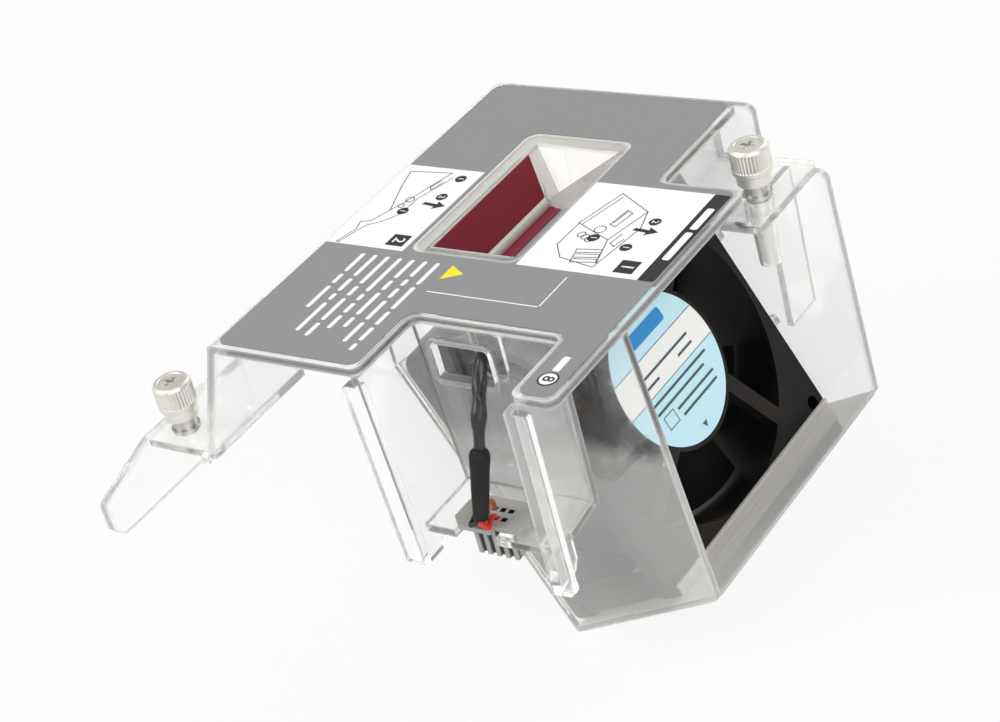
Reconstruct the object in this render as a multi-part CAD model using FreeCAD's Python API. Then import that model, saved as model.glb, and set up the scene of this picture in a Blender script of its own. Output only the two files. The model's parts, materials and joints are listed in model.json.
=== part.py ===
"""Air duct and fan module of a rack server, modelled as its separate pieces, in millimetres.

A clear plastic cover carries a tilted axial fan between two side panels, a pocket with a
downward connector, and two captive thumbscrews. The design frame has its origin at the near left
corner of the cover's top face: X runs across the cover, Y along it and Z up. Every piece is moved
at export, so that the origin of the finished part is the left screw's axis on its seat plane.
"""
import FreeCAD, Part
import math
import os

from FreeCAD import Placement, Rotation, Vector

# Clear sheet and cover
sheet = 2.5                 # wall of every clear panel
cover_width = 111.0         # X
cover_corner = 3.0          # outer corner radius of the cover
bend_radius = 2.2           # outside of the bend into the left wall
pocket_left = 51.0          # connector pocket cut into the near edge
pocket_right = 98.0
far_gap = 9.5               # from the duct's far panel to the far wall
pocket_length = 26.0
notch_left = 85.0           # cut-out over the right screw bracket, at the far right corner
notch_near = 100.0
overlay_thickness = 0.25
overlay_inset = 1.5
overlay_left = 2.75         # wider margin along the bend

# Skirt of the cover: leaning left wall and far wall
skirt_height = 37.5         # from the cover's top face to the skirt's lower edge
skirt_lean = 13.5           # how far the left wall spreads outwards on the way down
far_wall_reach = 90.5       # right end of the far wall

# Hand grip recessed into the cover
recess_left = 31.0
recess_near = 54.0
recess_width = 35.0
recess_length = 64.0
recess_corner = 4.0
rim_left = 5.0
rim_right = 2.0
rim_near = 3.0
rim_far = 5.0
grip_depth = 12.5
grip_valley = 6.0           # valley line, from the left edge of the trough
grip_near_slope = 1.0
grip_far_slope = 10.0
grip_wall = 2.0
pad_thickness = 0.3
pad_margin = 0.5
right_pad_depth = 0.56      # share of the grip's depth that the narrower pad covers
right_pad_length = 0.45     # share of the grip's length at its top edge

# Fan and its seat
fan_size = 92.0
fan_depth = 38.0
fan_tilt = 25.0             # angle of the fan's axis above the horizontal
fan_front = 67.5            # X of the frame's upper front edge
fan_drop = 5.1              # from the cover's underside to that edge
fan_gap = 0.3               # clearance between the frame and what holds it
hole_inset = 4.75           # from the frame's sides to its fixing holes
hole_radius = 2.2
bore_margin = 2.1           # from the frame's sides to the air passage
fan_flange = 4.5            # thickness of the frame's end flanges
fan_corner = 4.0
tube_wall = 1.6
post_radius = 4.2
strut_width = 5.0
strut_depth = 4.0
strut_count = 4
strut_start_angle = 47.0    # where a strut leaves the motor base
strut_end_angle = 36.0      # where it meets the ring
lead_strut = 2              # the strut that carries the motor's leads
lead_strut_width = 7.4
gland_width = 10.0          # block on the frame's near side that the motor lead leaves by
gland_length = 18.0
base_radius = 23.5
base_height = 3.5
label_radius = 22.2
label_recess = 0.4

# Rotor
hub_radius = 24.0
hub_wall = 1.7
hub_bottom = -17.0          # fan frame: the closed end of the hub, on the intake side
hub_top = 13.0
hub_corner = 3.0
blade_count = 7
blade_tip_gap = 0.9
blade_chord = 27.0
blade_thickness = 1.5
blade_root_pitch = 48.0     # angle between the chord and the plane of rotation
blade_tip_pitch = 33.0
blade_camber = 0.10
blade_sweep = 2.5           # how far the tip leads the root
blade_overrun = 3.0         # the blade is made this much longer, then trimmed to the tip
yoke_wall = 1.2
yoke_length = 20.0
magnet_wall = 2.0
magnet_length = 16.0
magnet_lift = 1.5           # from the yoke's floor
shaft_radius = 1.5
shaft_clearance = 0.03

# Stator
air_gap = 0.4
stator_length = 14.0
stator_middle = 1.0         # fan frame: height of the stator's middle
pole_count = 4
pole_width = 7.0
pole_shoe = 2.2
pole_gap = 3.2
coil_wall = 2.6
coil_gap = 0.2
coil_corner = 1.0
coil_taper = 0.8            # how much of its sector a coil fills at the hub
stator_hub_wall = 2.0
bearing_radius = 4.0
bearing_width = 4.0
bearing_inset = 1.5
bearing_lip = 2.7           # radius inside the shoulder between the bearings
bearing_groove = 0.3        # depth of the groove in each face
bearing_ring = 0.8          # width of the inner and of the outer ring
bearing_tube_wall = 1.5
bearing_tube_length = 24.0
board_radius = 17.5
board_thickness = 1.2
board_part_radius = 8.0     # from the axis to the parts on the board
board_parts = [(5.0, 5.0, 1.2, 45), (3.0, 3.0, 1.0, 135), (3.0, 3.0, 1.0, 225)]  # sizes and angle
clip_radius = 2.6
clip_thickness = 0.6
clip_play = 0.05
clip_mouth = 1.8
clip_groove_depth = 0.4
shaft_end = 1.0             # beyond the clip
preload_wire = 0.25
preload_radius = 2.05
preload_turns = 3

# Duct
duct_near = 32.9            # outer face of the near panel
spacer_height = 2.5         # ribs that centre the fan on the far panel
duct_mouth_bottom = 121.0   # X of the mouth's lower edge
far_mouth_top = 117.5
floor_sheet = 1.2           # the floor is thinner than the panels
stop_depth = 1.2            # ribs that stop the fan, beyond the clearance
stop_height = 3.5
ridge_corner = 0.8
spacer_count = 2
spacer_width = 3.0
cable_slot_width = 9.0
cable_slot_corner = 3.0

# Connector pocket
rail_depth = 3.0
left_rail_width = 4.5
right_rail_width = 4.0
rail_top = -6.0
rail_foot = -63.0
rail_taper = 1.0
left_foot_length = 9.0
right_foot_length = 12.0
right_foot_heel = 2.5
pocket_draft = 3.65         # lean of the pocket's left wall, in degrees
right_wall_near = 97.4      # X of the right wall's outer face at the cover's near edge
right_wall_far = 94.4       # and where it meets the window panel
shelf_top = -52.0
shelf_near = 4.4            # Y of the shelf's near edge
shelf_bar = 2.5             # bar in front of the connector's right half
bar_left = 77.1
slot_left = 64.0            # the shelf is open at the front from here to the bar
window_left = 54.5
window_width = 18.5
window_top = -8.0
window_height = 11.5
window_corner = 1.6
bezel_width = 1.4
bezel_height = 0.8

# Connector
plug_middle_x = 74.0
plug_middle_y = 12.05
plug_width = 12.8
plug_depth = 7.4
plug_bottom = -61.0
plug_clearance = 0.2
plug_wall = 1.2             # round the mouth
plug_mouth = 2.0            # depth of the mouth
flange_left = 62.0          # plate on the shelf that the connector hangs from
flange_right = 84.0
flange_near = 5.0
flange_far = 18.5
flange_thickness = 1.5
flange_step = 2.0           # the plate's near edge stands back behind the bar
flange_chamfer = 3.0
cavity_pitch = 2.6
cavity_row_pitch = 3.6
cavity_shift = -1.4         # from the middle of the plug to the middle of its cavities
cavity_size = 1.7
cavity_columns = 4
cavity_rows = 2
contact_top = -54.0
contact_length = 3.6
contact_tip = 0.8
contact_inset = 0.5         # from the plug's lower face up to the tips
fin_width = 1.3
fin_height = 1.0
fin_count = 5

# Motor lead, with the points of its route in the design frame
sleeve_radius = 2.0
boot_top_radius = 2.8
boot_end_radius = 2.0
wire_radius = 0.6
gland_clearance = 0.3
lead_down = -37.0           # fan frame: where the sleeve leaves the gland
lead_inset = 5.5            # from the frame's near side in to the gland's mouth
lead_depth = 3.7            # from the frame's outlet face in to the sleeve
lead_start = 8.0            # length of the sleeve inside the gland
lead_reach = 4.6            # from the frame's near side out to the first bend
lead_crest = (69.6, 27.2, -8.8)
lead_drop = (71.2, 20.5, -17.5)
lead_hang = 6.5             # length of the straight run into the boot
boot_top = (73.0, 12.4, -30.0)
boot_end = (73.3, 5.1, -47.4)
wire_lead_in = 0.7          # straight run of the outer wires out of the boot
wire_straight = 2.1         # from the boot's end down to a wire's bend
wire_spread = 0.9           # from the boot's axis to each wire
wire_sweep = 2.2            # how far the outer wires swing out before they turn in
wire_rise = 2.3             # height of a wire's last bend above the plug
wire_far_rise = 5.2         # the same for a wire to the far row

# Captive thumbscrews
left_screw_x = -27.5
left_screw_y = 8.0
right_screw_x = 106.3
right_screw_y = 113.0
knob_radius = 6.1
knob_height = 11.5
knob_lift = 4.5             # gap under the knob while the screw is released
knob_overlap = 0.1          # the collar's top reaches this far into the released knob
knob_bore = 4.6
knob_bore_depth = 8.0
knob_chamfer = 0.6
knurl_count = 30
knurl_depth = 0.35
knurl_start = 2.0           # from the knob's lower edge
knurl_end = 1.5             # from its top
waist_height = 1.6
waist_depth = 0.5
screw_head_radius = 3.6
screw_head_height = 2.0
head_recess = 0.3
cross_width = 1.1
cross_length = 4.4
cross_depth = 1.2
neck_radius = 1.65
thread_radius = 2.0
thread_chamfer = 0.5
tip_clearance = 0.2         # from the seat plane up to the tip while the screw is released
ferrule_neck = 3.5          # radius of the collar seen under the knob
ferrule_shoulder = 4.2
ferrule_shoulder_height = 1.0
ferrule_body = 3.1          # radius pressed into the bracket
ferrule_lip = 1.2           # depth of the ring that holds the screw captive
lip_clearance = 0.05
ferrule_bore = 2.3
spring_radius = 3.2
spring_wire = 0.35
spring_turns = 4

# Left bracket
bracket_left = -38.0
bracket_length = 42.0
fin_bottom = -57.0
fin_nose = -22.5
fin_nose_top = -44.3
fin_nose_bottom = -53.0
fin_chin = 3.0              # length of the slope under the nose
fin_heel = 8.0              # corner radius at the far end

# Right bracket
ledge_top = -9.5
ledge_right = 115.0
boss_radius = 3.6
boss_foot_radius = 3.1
boss_length = 19.0
rib_bottom = -55.0
rib_width = 2.0
rib_clearance = 0.4         # between the boss's foot and the rib beside it

# Sizes that follow
seat_z = -(skirt_height + sheet)
cover_under = -sheet
ledge_under = ledge_top - sheet
tilt = math.radians(fan_tilt)
near_inner = duct_near + sheet
fan_near = near_inner + fan_gap
fan_far = fan_near + fan_size
fan_middle_y = fan_near + fan_size / 2
fan_x = fan_front + fan_size / 2 * math.sin(tilt) - fan_depth / 2 * math.cos(tilt)
fan_z = cover_under - fan_drop - fan_size / 2 * math.cos(tilt) - fan_depth / 2 * math.sin(tilt)
far_inner = fan_far + fan_gap + spacer_height
duct_far = far_inner + sheet
cover_length = duct_far + far_gap + sheet
wall_run = sheet / math.cos(math.atan2(skirt_lean, skirt_height - sheet))
draft = math.tan(math.radians(pocket_draft))
base_bottom = fan_depth / 2 - base_height
hub_inner = hub_radius - hub_wall
yoke_inner = hub_inner - yoke_wall
magnet_inner = yoke_inner - magnet_wall
stator_radius = magnet_inner - air_gap
tube_outer = bearing_radius + bearing_tube_wall
bearing_tube_bottom = base_bottom - bearing_tube_length
rim_half = fan_size / 2 + fan_gap
hole_pitch = fan_size - 2 * hole_inset
fan_bore = fan_size / 2 - bore_margin


# Helpers

def on_level(z):
    """Return the map from (x, y) to a point at height z."""
    return lambda x, y: Vector(x, y, z)


def on_section(y):
    """Return the map from (x, z) to a point on the plane across Y."""
    return lambda x, z: Vector(x, y, z)


def on_side(x):
    """Return the map from (y, z) to a point on the plane across X."""
    return lambda y, z: Vector(x, y, z)


def rounded_wire(corners, place):
    """Return the closed wire through (u, v, radius) corners, laid out by place."""
    edges = []
    points = [place(u, v) for u, v, _ in corners]
    last_end = None
    first_start = None
    for index, (_, _, radius) in enumerate(corners):
        here = points[index]
        back = (points[index - 1] - here).normalize()
        ahead = (points[(index + 1) % len(points)] - here).normalize()
        half = back.getAngle(ahead) / 2
        start = here + back * (radius / math.tan(half))
        end = here + ahead * (radius / math.tan(half))
        if last_end is not None and last_end.distanceToPoint(start) > 1e-6:
            edges.append(Part.LineSegment(last_end, start).toShape())
        if first_start is None:
            first_start = start
        if radius > 0:
            bisector = (back + ahead).normalize()
            crown = here + bisector * (radius / math.sin(half) - radius)
            edges.append(Part.Arc(start, crown, end).toShape())
        last_end = end
    if last_end.distanceToPoint(first_start) > 1e-6:
        edges.append(Part.LineSegment(last_end, first_start).toShape())
    return Part.Wire(edges)


def slab(corners, place, thrust):
    """Return the solid of a rounded outline pushed along the vector thrust."""
    return Part.Face(rounded_wire(corners, place)).extrude(thrust)


def box(low, high):
    """Return the box between two corner points given as (x, y, z)."""
    size = [b - a for a, b in zip(low, high)]
    return Part.makeBox(*size, Vector(*low))


def rectangle(left, near, right, far, radius):
    """Return the corners of a rectangle with one corner radius."""
    return [(left, near, radius), (right, near, radius), (right, far, radius), (left, far, radius)]


def rod(radius, bottom, top, x=0.0, y=0.0):
    """Return an upright cylinder between two heights."""
    return Part.makeCylinder(radius, top - bottom, Vector(x, y, bottom))


def ring(outer, inner, bottom, top, x=0.0, y=0.0):
    """Return an upright tube between two heights."""
    return rod(outer, bottom, top, x, y).cut(rod(inner, bottom, top, x, y))


def fused(shapes):
    """Return one clean solid made of overlapping or touching shapes."""
    return shapes[0].multiFuse(shapes[1:]).removeSplitter()


def turned(shape, degrees, axis=Vector(0, 0, 1)):
    """Return a copy turned about an axis through the origin."""
    copy = shape.copy()
    copy.rotate(Vector(0, 0, 0), axis, degrees)
    return copy


def tilted(shape):
    """Move a shape from the fan's own frame to the design frame.

    The fan's Z is the way the air leaves, its X points down the fan's face and its Y is the
    design frame's Y.
    """
    turn = Rotation(Vector(0, 1, 0), 90 - fan_tilt)
    copy = shape.copy()
    copy.Placement = Placement(Vector(fan_x, fan_middle_y, fan_z), turn).multiply(copy.Placement)
    return copy


def fan_point(down, along, out):
    """Return the design-frame point at a place given in the fan's own frame."""
    turn = Rotation(Vector(0, 1, 0), 90 - fan_tilt)
    return Placement(Vector(fan_x, fan_middle_y, fan_z), turn).multVec(Vector(down, along, out))


def fan_section(out, down):
    """Return (x, z) in the design frame for a place out of and down the fan's middle plane."""
    x = fan_x + out * math.cos(tilt) + down * math.sin(tilt)
    z = fan_z + out * math.sin(tilt) - down * math.cos(tilt)
    return x, z


def tube(points, radius):
    """Return a round tube along straight runs joined by tangent arcs."""
    edges = []
    last = points[0]
    for before, here, after in zip(points, points[1:], points[2:]):
        back = before - here
        ahead = after - here
        reach = 0.45 * min(back.Length, ahead.Length)
        back.normalize()
        ahead.normalize()
        half = back.getAngle(ahead) / 2
        start = here + back * reach
        end = here + ahead * reach
        bend = reach * math.tan(half)
        middle = (back + ahead).normalize()
        crown = here + middle * (bend / math.sin(half) - bend)
        edges.append(Part.LineSegment(last, start).toShape())
        edges.append(Part.Arc(start, crown, end).toShape())
        last = end
    edges.append(Part.LineSegment(last, points[-1]).toShape())
    path = Part.Wire(edges)
    profile = Part.Wire(Part.makeCircle(radius, points[0], points[1] - points[0]))
    shell = Part.BRepOffsetAPI.MakePipeShell(path)
    shell.add(profile)
    shell.build()
    shell.makeSolid()
    return shell.shape()


def coil(radius, wire, bottom, top, turns, x=0.0, y=0.0):
    """Return a helical spring between two heights, wire surface to wire surface."""
    rise = top - bottom - 2 * wire
    helix = Part.makeHelix(rise / turns, rise, radius)
    start = Vector(radius, 0, 0)
    profile = Part.Wire(Part.makeCircle(wire, start, Vector(0, radius, rise / turns / (2 * math.pi))))
    shell = Part.BRepOffsetAPI.MakePipeShell(Part.Wire(helix.Edges))
    shell.setFrenetMode(True)
    shell.add(profile)
    shell.build()
    shell.makeSolid()
    spring = shell.shape()
    spring.translate(Vector(x, y, bottom + wire))
    return spring


# Cover

def cover_outline(inset=0.0, left=0.0, left_corner=0.0):
    """Return the cover's corners, moved inwards by inset, or by left along the bend."""
    outer = cover_corner
    inner = cover_corner + inset
    return [
        (left, inset, left_corner),
        (pocket_left - inset, inset, outer),
        (pocket_left - inset, pocket_length + inset, inner),
        (pocket_right + inset, pocket_length + inset, inner),
        (pocket_right + inset, inset, outer),
        (cover_width - inset, inset, outer),
        (cover_width - inset, notch_near - inset, outer),
        (notch_left - inset, notch_near - inset, inner),
        (notch_left - inset, cover_length - inset, outer),
        (left, cover_length - inset, left_corner),
    ]


def recess_corners(growth=0.0):
    """Return the corners of the grip's cut-out in the cover."""
    return rectangle(recess_left - growth, recess_near - growth,
                     recess_left + recess_width + growth, recess_near + recess_length + growth,
                     recess_corner)


def make_top_cover():
    """Flat cover with its cut-outs, leaning left wall, far wall and the seal rib over the fan."""
    plate = slab(cover_outline(), on_level(cover_under), Vector(0, 0, sheet))
    left_wall = slab([(0, cover_under, 0), (wall_run, cover_under, 0),
                      (wall_run - skirt_lean, -skirt_height, 0), (-skirt_lean, -skirt_height, 0)],
                     on_section(0), Vector(0, cover_length, 0))
    far_wall = slab([(0, cover_under, 0), (notch_left - cover_corner, cover_under, 0),
                     (notch_left - cover_corner, 0, 0), (far_wall_reach, 0, cover_corner),
                     (far_wall_reach, -skirt_height, cover_corner), (-skirt_lean, -skirt_height, 0)],
                    on_section(cover_length - sheet), Vector(0, sheet, 0))
    front_x, front_z = fan_section(fan_depth / 2 + fan_gap, -fan_size / 2)
    rib_reach = front_z - sheet
    rib_x = front_x + sheet * math.tan(tilt)
    seal_rib = box((rib_x, near_inner, rib_reach), (rib_x + sheet, far_inner, cover_under))
    cover = fused([plate, left_wall, far_wall, seal_rib])
    bend = [e for e in cover.Edges if e.BoundBox.XMax < 0.01 and e.BoundBox.ZMin > -0.01]
    cover = cover.makeFillet(bend_radius, bend)
    opening = slab(recess_corners(), on_level(cover_under), Vector(0, 0, sheet))
    return cover.cut(opening)


def make_overlay():
    """Printed film on the cover, held back from its edges."""
    outline = cover_outline(overlay_inset, overlay_left, cover_corner)
    film = slab(outline, on_level(0), Vector(0, 0, overlay_thickness))
    hole = slab(recess_corners(pad_margin), on_level(0), Vector(0, 0, overlay_thickness))
    return film.cut(hole)


def trough(left, near, right, far, top, valley_x, valley_near, valley_far, bottom):
    """Return a hollow with a level rectangular top and a valley line at the bottom."""
    a = Vector(left, near, top)
    b = Vector(right, near, top)
    c = Vector(right, far, top)
    d = Vector(left, far, top)
    v = Vector(valley_x, valley_near, bottom)
    w = Vector(valley_x, valley_far, bottom)
    loops = [[a, b, c, d], [a, d, w, v], [b, v, w, c], [a, v, b], [c, w, d]]
    faces = [Part.Face(Part.makePolygon(loop + loop[:1])) for loop in loops]
    return Part.Solid(Part.Shell(faces))


trough_left = recess_left + rim_left
trough_right = recess_left + recess_width - rim_right
trough_near = recess_near + rim_near
trough_far = recess_near + recess_length - rim_far
valley_line = trough_left + grip_valley


def make_grip_tray():
    """V-shaped hand grip with a flat rim that fills the cover's cut-out."""
    rim = slab(recess_corners(), on_level(cover_under), Vector(0, 0, sheet))
    body = trough(trough_left - grip_wall, trough_near - grip_wall,
                  trough_right + grip_wall, trough_far + grip_wall, cover_under, valley_line,
                  trough_near + grip_near_slope - grip_wall, trough_far - grip_far_slope + grip_wall,
                  -grip_depth - grip_wall)
    hollow = trough(trough_left, trough_near, trough_right, trough_far, 0, valley_line,
                    trough_near + grip_near_slope, trough_far - grip_far_slope, -grip_depth)
    return fused([rim, body]).cut(hollow)


def wall_point(side, depth, y):
    """Return the point of a grip wall at a depth below the cover; side is 'left' or 'right'."""
    edge = trough_left if side == "left" else trough_right
    x = edge + (valley_line - edge) * depth / grip_depth
    return Vector(x, y, -depth)


def pad(side, corners):
    """Return a thin film on a grip wall through (depth, y) corners."""
    points = [wall_point(side, depth, y) for depth, y in corners]
    face = Part.Face(Part.makePolygon(points + points[:1]))
    normal = (points[1] - points[0]).cross(points[2] - points[0]).normalize()
    if normal.z < 0:
        normal = -normal
    return face.extrude(normal * pad_thickness)


def make_grip_pad_left():
    """Coloured film over the steep left wall of the grip."""
    near = trough_near + pad_margin
    deep = grip_depth - pad_margin * 2
    valley_end = trough_far - grip_far_slope * deep / grip_depth
    return pad("left", [(pad_margin, near), (deep, near + grip_near_slope),
                        (deep, valley_end - pad_margin), (pad_margin, trough_far - rim_far - pad_margin)])


def make_grip_pad_right():
    """Narrower film on the upper part of the shallow right wall."""
    near = trough_near + pad_margin
    deep = grip_depth * right_pad_depth
    far_end = trough_near + right_pad_length * (trough_far - trough_near)
    return pad("right", [(pad_margin, near), (deep, near + grip_near_slope),
                         (deep, far_end + grip_far_slope), (pad_margin, far_end)])


# Brackets

def make_left_bracket():
    """Screw ledge on the skirt's foot, with a locating fin that points down and past the near end."""
    ledge = box((bracket_left, 0, seat_z), (wall_run - skirt_lean, bracket_length, -skirt_height))
    fin = slab([(0, -skirt_height, 0), (fin_nose, fin_nose_top, sheet),
                (fin_nose, fin_nose_bottom, sheet), (fin_nose + fin_chin, fin_bottom, sheet),
                (bracket_length, fin_bottom, fin_heel), (bracket_length, -skirt_height, 0)],
               on_side(bracket_left), Vector(sheet, 0, 0))
    lug_x = (left_screw_x + ferrule_shoulder + wall_run - skirt_lean) / 2
    lug = box((lug_x, 0, seat_z - sheet), (lug_x + sheet, sheet * 2, seat_z))
    hole = rod(ferrule_body, seat_z, -skirt_height, left_screw_x, left_screw_y)
    return fused([ledge, fin, lug]).cut(hole)


def make_right_bracket():
    """Lowered ledge in the cover's far right notch, with its risers, screw boss and rib."""
    ledge = slab([(notch_left - sheet, notch_near - sheet, 0), (ledge_right, notch_near - sheet, 0),
                  (ledge_right, duct_far, cover_corner), (notch_left - sheet, duct_far, 0)],
                 on_level(ledge_under), Vector(0, 0, sheet))
    left_riser = box((notch_left - sheet, notch_near - sheet, ledge_under),
                     (notch_left, duct_far, cover_under))
    near_riser = box((notch_left - sheet, notch_near - sheet, ledge_under),
                     (cover_width, notch_near, cover_under))
    boss = Part.makeCone(boss_foot_radius, boss_radius, boss_length,
                         Vector(right_screw_x, right_screw_y, ledge_under - boss_length))
    rib_start = right_screw_y + boss_foot_radius + rib_clearance
    rib = box((right_screw_x - rib_width / 2, rib_start, rib_bottom),
              (right_screw_x + rib_width / 2, far_inner, ledge_under))
    bore = rod(ferrule_bore, ledge_under - boss_length, ledge_under, right_screw_x, right_screw_y)
    seat = rod(ferrule_body, ledge_under, ledge_top, right_screw_x, right_screw_y)
    return fused([ledge, left_riser, near_riser, boss, rib]).cut(fused([bore, seat]))


# Duct

def panel_corners(mouth_top_x, mouth_top_z, mouth_corner):
    """Return the (x, z) corners of a side panel, from its upper left round to the mouth."""
    ridge_x, ridge_z = fan_section(-fan_depth / 2 - stop_depth - fan_gap, rim_half + floor_sheet)
    back_x, back_z = fan_section(-fan_depth / 2 - stop_depth - fan_gap, -fan_size / 2)
    mouth_z = ridge_z + (duct_mouth_bottom - ridge_x) * math.tan(tilt)
    return [(mouth_top_x, mouth_top_z, mouth_corner), (duct_mouth_bottom, mouth_z, 1.0),
            (ridge_x, ridge_z, ridge_corner), (back_x, back_z, ridge_corner)], back_x


def fan_strip(out, reach, top, bottom):
    """Return the (x, z) corners of a strip beside the fan: from out to reach, top to bottom."""
    return [(*fan_section(out, top), 0), (*fan_section(out, bottom), 0),
            (*fan_section(reach, bottom), 0), (*fan_section(reach, top), 0)]


def stop_rib(inner, direction):
    """Return the rib behind the fan that stands on a side panel's inner face."""
    out = -fan_depth / 2 - fan_gap
    corners = fan_strip(out, out - stop_depth, -fan_size / 2, fan_size / 2)
    return slab(corners, on_section(inner), Vector(0, direction * stop_height, 0))


def make_duct_near_panel():
    """Near side of the duct, with a slot in its top edge for the motor's lead."""
    corners, back_x = panel_corners(cover_width, cover_under, 0)
    panel = slab(corners + [(back_x, cover_under, 0)], on_section(duct_near), Vector(0, sheet, 0))
    lead = fan_point(*lead_exit)
    left = lead.x - cable_slot_width / 2
    right = lead.x + cable_slot_width / 2
    bottom = lead.z - cable_slot_width / 2
    slot = slab([(left, cover_under, 0), (right, cover_under, 0),
                 (right, bottom, cable_slot_corner), (left, bottom, cable_slot_corner)],
                on_section(duct_near), Vector(0, sheet, 0))
    return fused([panel, stop_rib(near_inner, 1)]).cut(slot)


def make_duct_far_panel():
    """Far side of the duct, lowered under the right bracket, with spacers that centre the fan."""
    corners, back_x = panel_corners(far_mouth_top, ledge_under, cover_corner)
    step = notch_left - sheet
    panel = slab(corners + [(back_x, cover_under, 0), (step, cover_under, 0), (step, ledge_under, 0)],
                 on_section(far_inner), Vector(0, sheet, 0))
    spacers = []
    for index in range(spacer_count):
        down = fan_size * ((index + 1) / (spacer_count + 1) - 0.5)
        half = spacer_width / 2
        corners = fan_strip(-fan_depth / 2, fan_depth / 2, down - half, down + half)
        spacers.append(slab(corners, on_section(far_inner - spacer_height), Vector(0, spacer_height, 0)))
    return fused([panel, stop_rib(far_inner, -1)] + spacers)


def make_duct_floor():
    """Sloping floor between the side panels, with low lips before and behind the fan."""
    back = -fan_depth / 2 - fan_gap - stop_depth
    top_back = fan_section(back, rim_half)
    low_back = fan_section(back, rim_half + floor_sheet)
    low_z = low_back[1] + (duct_mouth_bottom - low_back[0]) * math.tan(tilt)
    top_z = top_back[1] + (duct_mouth_bottom - top_back[0]) * math.tan(tilt)
    floor = slab([(*top_back, 0), (*low_back, 0), (duct_mouth_bottom, low_z, 0),
                  (duct_mouth_bottom, top_z, 0)],
                 on_section(near_inner), Vector(0, far_inner - near_inner, 0))
    lips = []
    for start in (back, fan_depth / 2 + fan_gap):
        corners = fan_strip(start, start + stop_depth, rim_half - stop_height, rim_half)
        lips.append(slab(corners, on_section(near_inner + stop_height),
                         Vector(0, far_inner - near_inner - 2 * stop_height, 0)))
    return fused([floor] + lips)


# Connector pocket

def drafted(x, z):
    """Return x moved by the pocket's draft at height z."""
    return x + (cover_under - z) * draft


def right_wall_plan(start, end):
    """Return the (x, y) corners of the pocket's angled right wall between two Y values."""
    slope = (right_wall_far - right_wall_near) / pocket_length
    outer = [(right_wall_near + slope * y, y) for y in (start, end)]
    return [(outer[0][0] - sheet, start), outer[0], outer[1], (outer[1][0] - sheet, end)]


def plan_wire(corners, z):
    """Return the closed wire through (x, y) corners at height z."""
    points = [Vector(x, y, z) for x, y in corners]
    return Part.makePolygon(points + points[:1])


def prism(corners, bottom, top):
    """Return an upright prism over (x, y) corners."""
    return Part.Face(plan_wire(corners, bottom)).extrude(Vector(0, 0, top - bottom))


shelf_under = shelf_top - sheet
pocket_wall_left = pocket_left - sheet
pocket_wall_right = pocket_right + sheet


def make_window_panel():
    """Back wall of the pocket, with the cable window and its raised bezel."""
    panel = slab([(pocket_wall_left, cover_under, 0), (pocket_wall_right, cover_under, 0),
                  (right_wall_far, rail_top, 0), (right_wall_far, shelf_under, 0),
                  (drafted(pocket_wall_left, shelf_under), shelf_under, 0)],
                 on_section(pocket_length), Vector(0, sheet, 0))
    window = rectangle(window_left, window_top - window_height,
                       window_left + window_width, window_top, window_corner)
    frame = rectangle(window_left - bezel_width, window_top - window_height - bezel_width,
                      window_left + window_width + bezel_width, window_top + bezel_width,
                      window_corner + bezel_width)
    bezel = slab(frame, on_section(pocket_length - bezel_height), Vector(0, bezel_height, 0))
    cut = slab(window, on_section(pocket_length - bezel_height), Vector(0, sheet + bezel_height, 0))
    return fused([panel, bezel]).cut(cut)


def make_pocket_side_left():
    """Drafted left wall of the pocket, with the guide rail on its near edge and its foot."""
    wall = slab([(pocket_wall_left, cover_under, 0), (pocket_left, cover_under, 0),
                 (drafted(pocket_left, shelf_under), shelf_under, 0),
                 (drafted(pocket_wall_left, shelf_under), shelf_under, 0)],
                on_section(0), Vector(0, pocket_length, 0))
    rail = slab([(drafted(pocket_wall_left, rail_top) - left_rail_width, rail_top, rail_taper),
                 (drafted(pocket_wall_left, rail_top), rail_top, 0),
                 (drafted(pocket_wall_left, rail_foot), rail_foot, 0),
                 (drafted(pocket_wall_left, rail_foot) - left_rail_width, rail_foot, rail_taper)],
                on_section(0), Vector(0, rail_depth, 0))
    foot = slab([(drafted(pocket_wall_left, shelf_under), shelf_under, 0),
                 (drafted(pocket_left, shelf_under), shelf_under, 0),
                 (drafted(pocket_left, rail_foot), rail_foot, 0),
                 (drafted(pocket_wall_left, rail_foot), rail_foot, 0)],
                on_section(0), Vector(0, left_foot_length, 0))
    return fused([wall, rail, foot])


def make_pocket_side_right():
    """Right wall of the pocket, angled in plan and flared at the top, with its rail and foot."""
    wall = prism(right_wall_plan(0, pocket_length), shelf_top, rail_top)
    edge = [(pocket_right, 0), (pocket_wall_right, 0),
            (pocket_wall_right, pocket_length), (pocket_right, pocket_length)]
    flare = Part.makeLoft([plan_wire(right_wall_plan(0, pocket_length), rail_top),
                           plan_wire(edge, cover_under)], True, True)
    rail_left = right_wall_near - sheet
    rail_right = right_wall_near + right_rail_width
    rail = slab([(rail_left, rail_top, 0), (rail_right, rail_top, rail_taper),
                 (rail_right, rail_foot, rail_taper), (rail_left + rail_taper, rail_foot, rail_taper)],
                on_section(0), Vector(0, rail_depth, 0))
    heel = slab([(0, shelf_top, 0), (right_foot_length, shelf_top, 0),
                 (right_foot_length, rail_foot + right_foot_heel, 0),
                 (right_foot_length - right_foot_heel, rail_foot, 0), (0, rail_foot, 0)],
                on_side(rail_left - right_foot_heel), Vector(right_rail_width + right_foot_heel, 0, 0))
    foot = heel.common(prism(right_wall_plan(0, right_foot_length), rail_foot, shelf_top))
    return fused([wall, flare, rail, foot])


plug_left = plug_middle_x - plug_width / 2
plug_right = plug_middle_x + plug_width / 2
plug_near = plug_middle_y - plug_depth / 2
plug_far = plug_middle_y + plug_depth / 2
plug_top = shelf_top + flange_thickness


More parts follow.
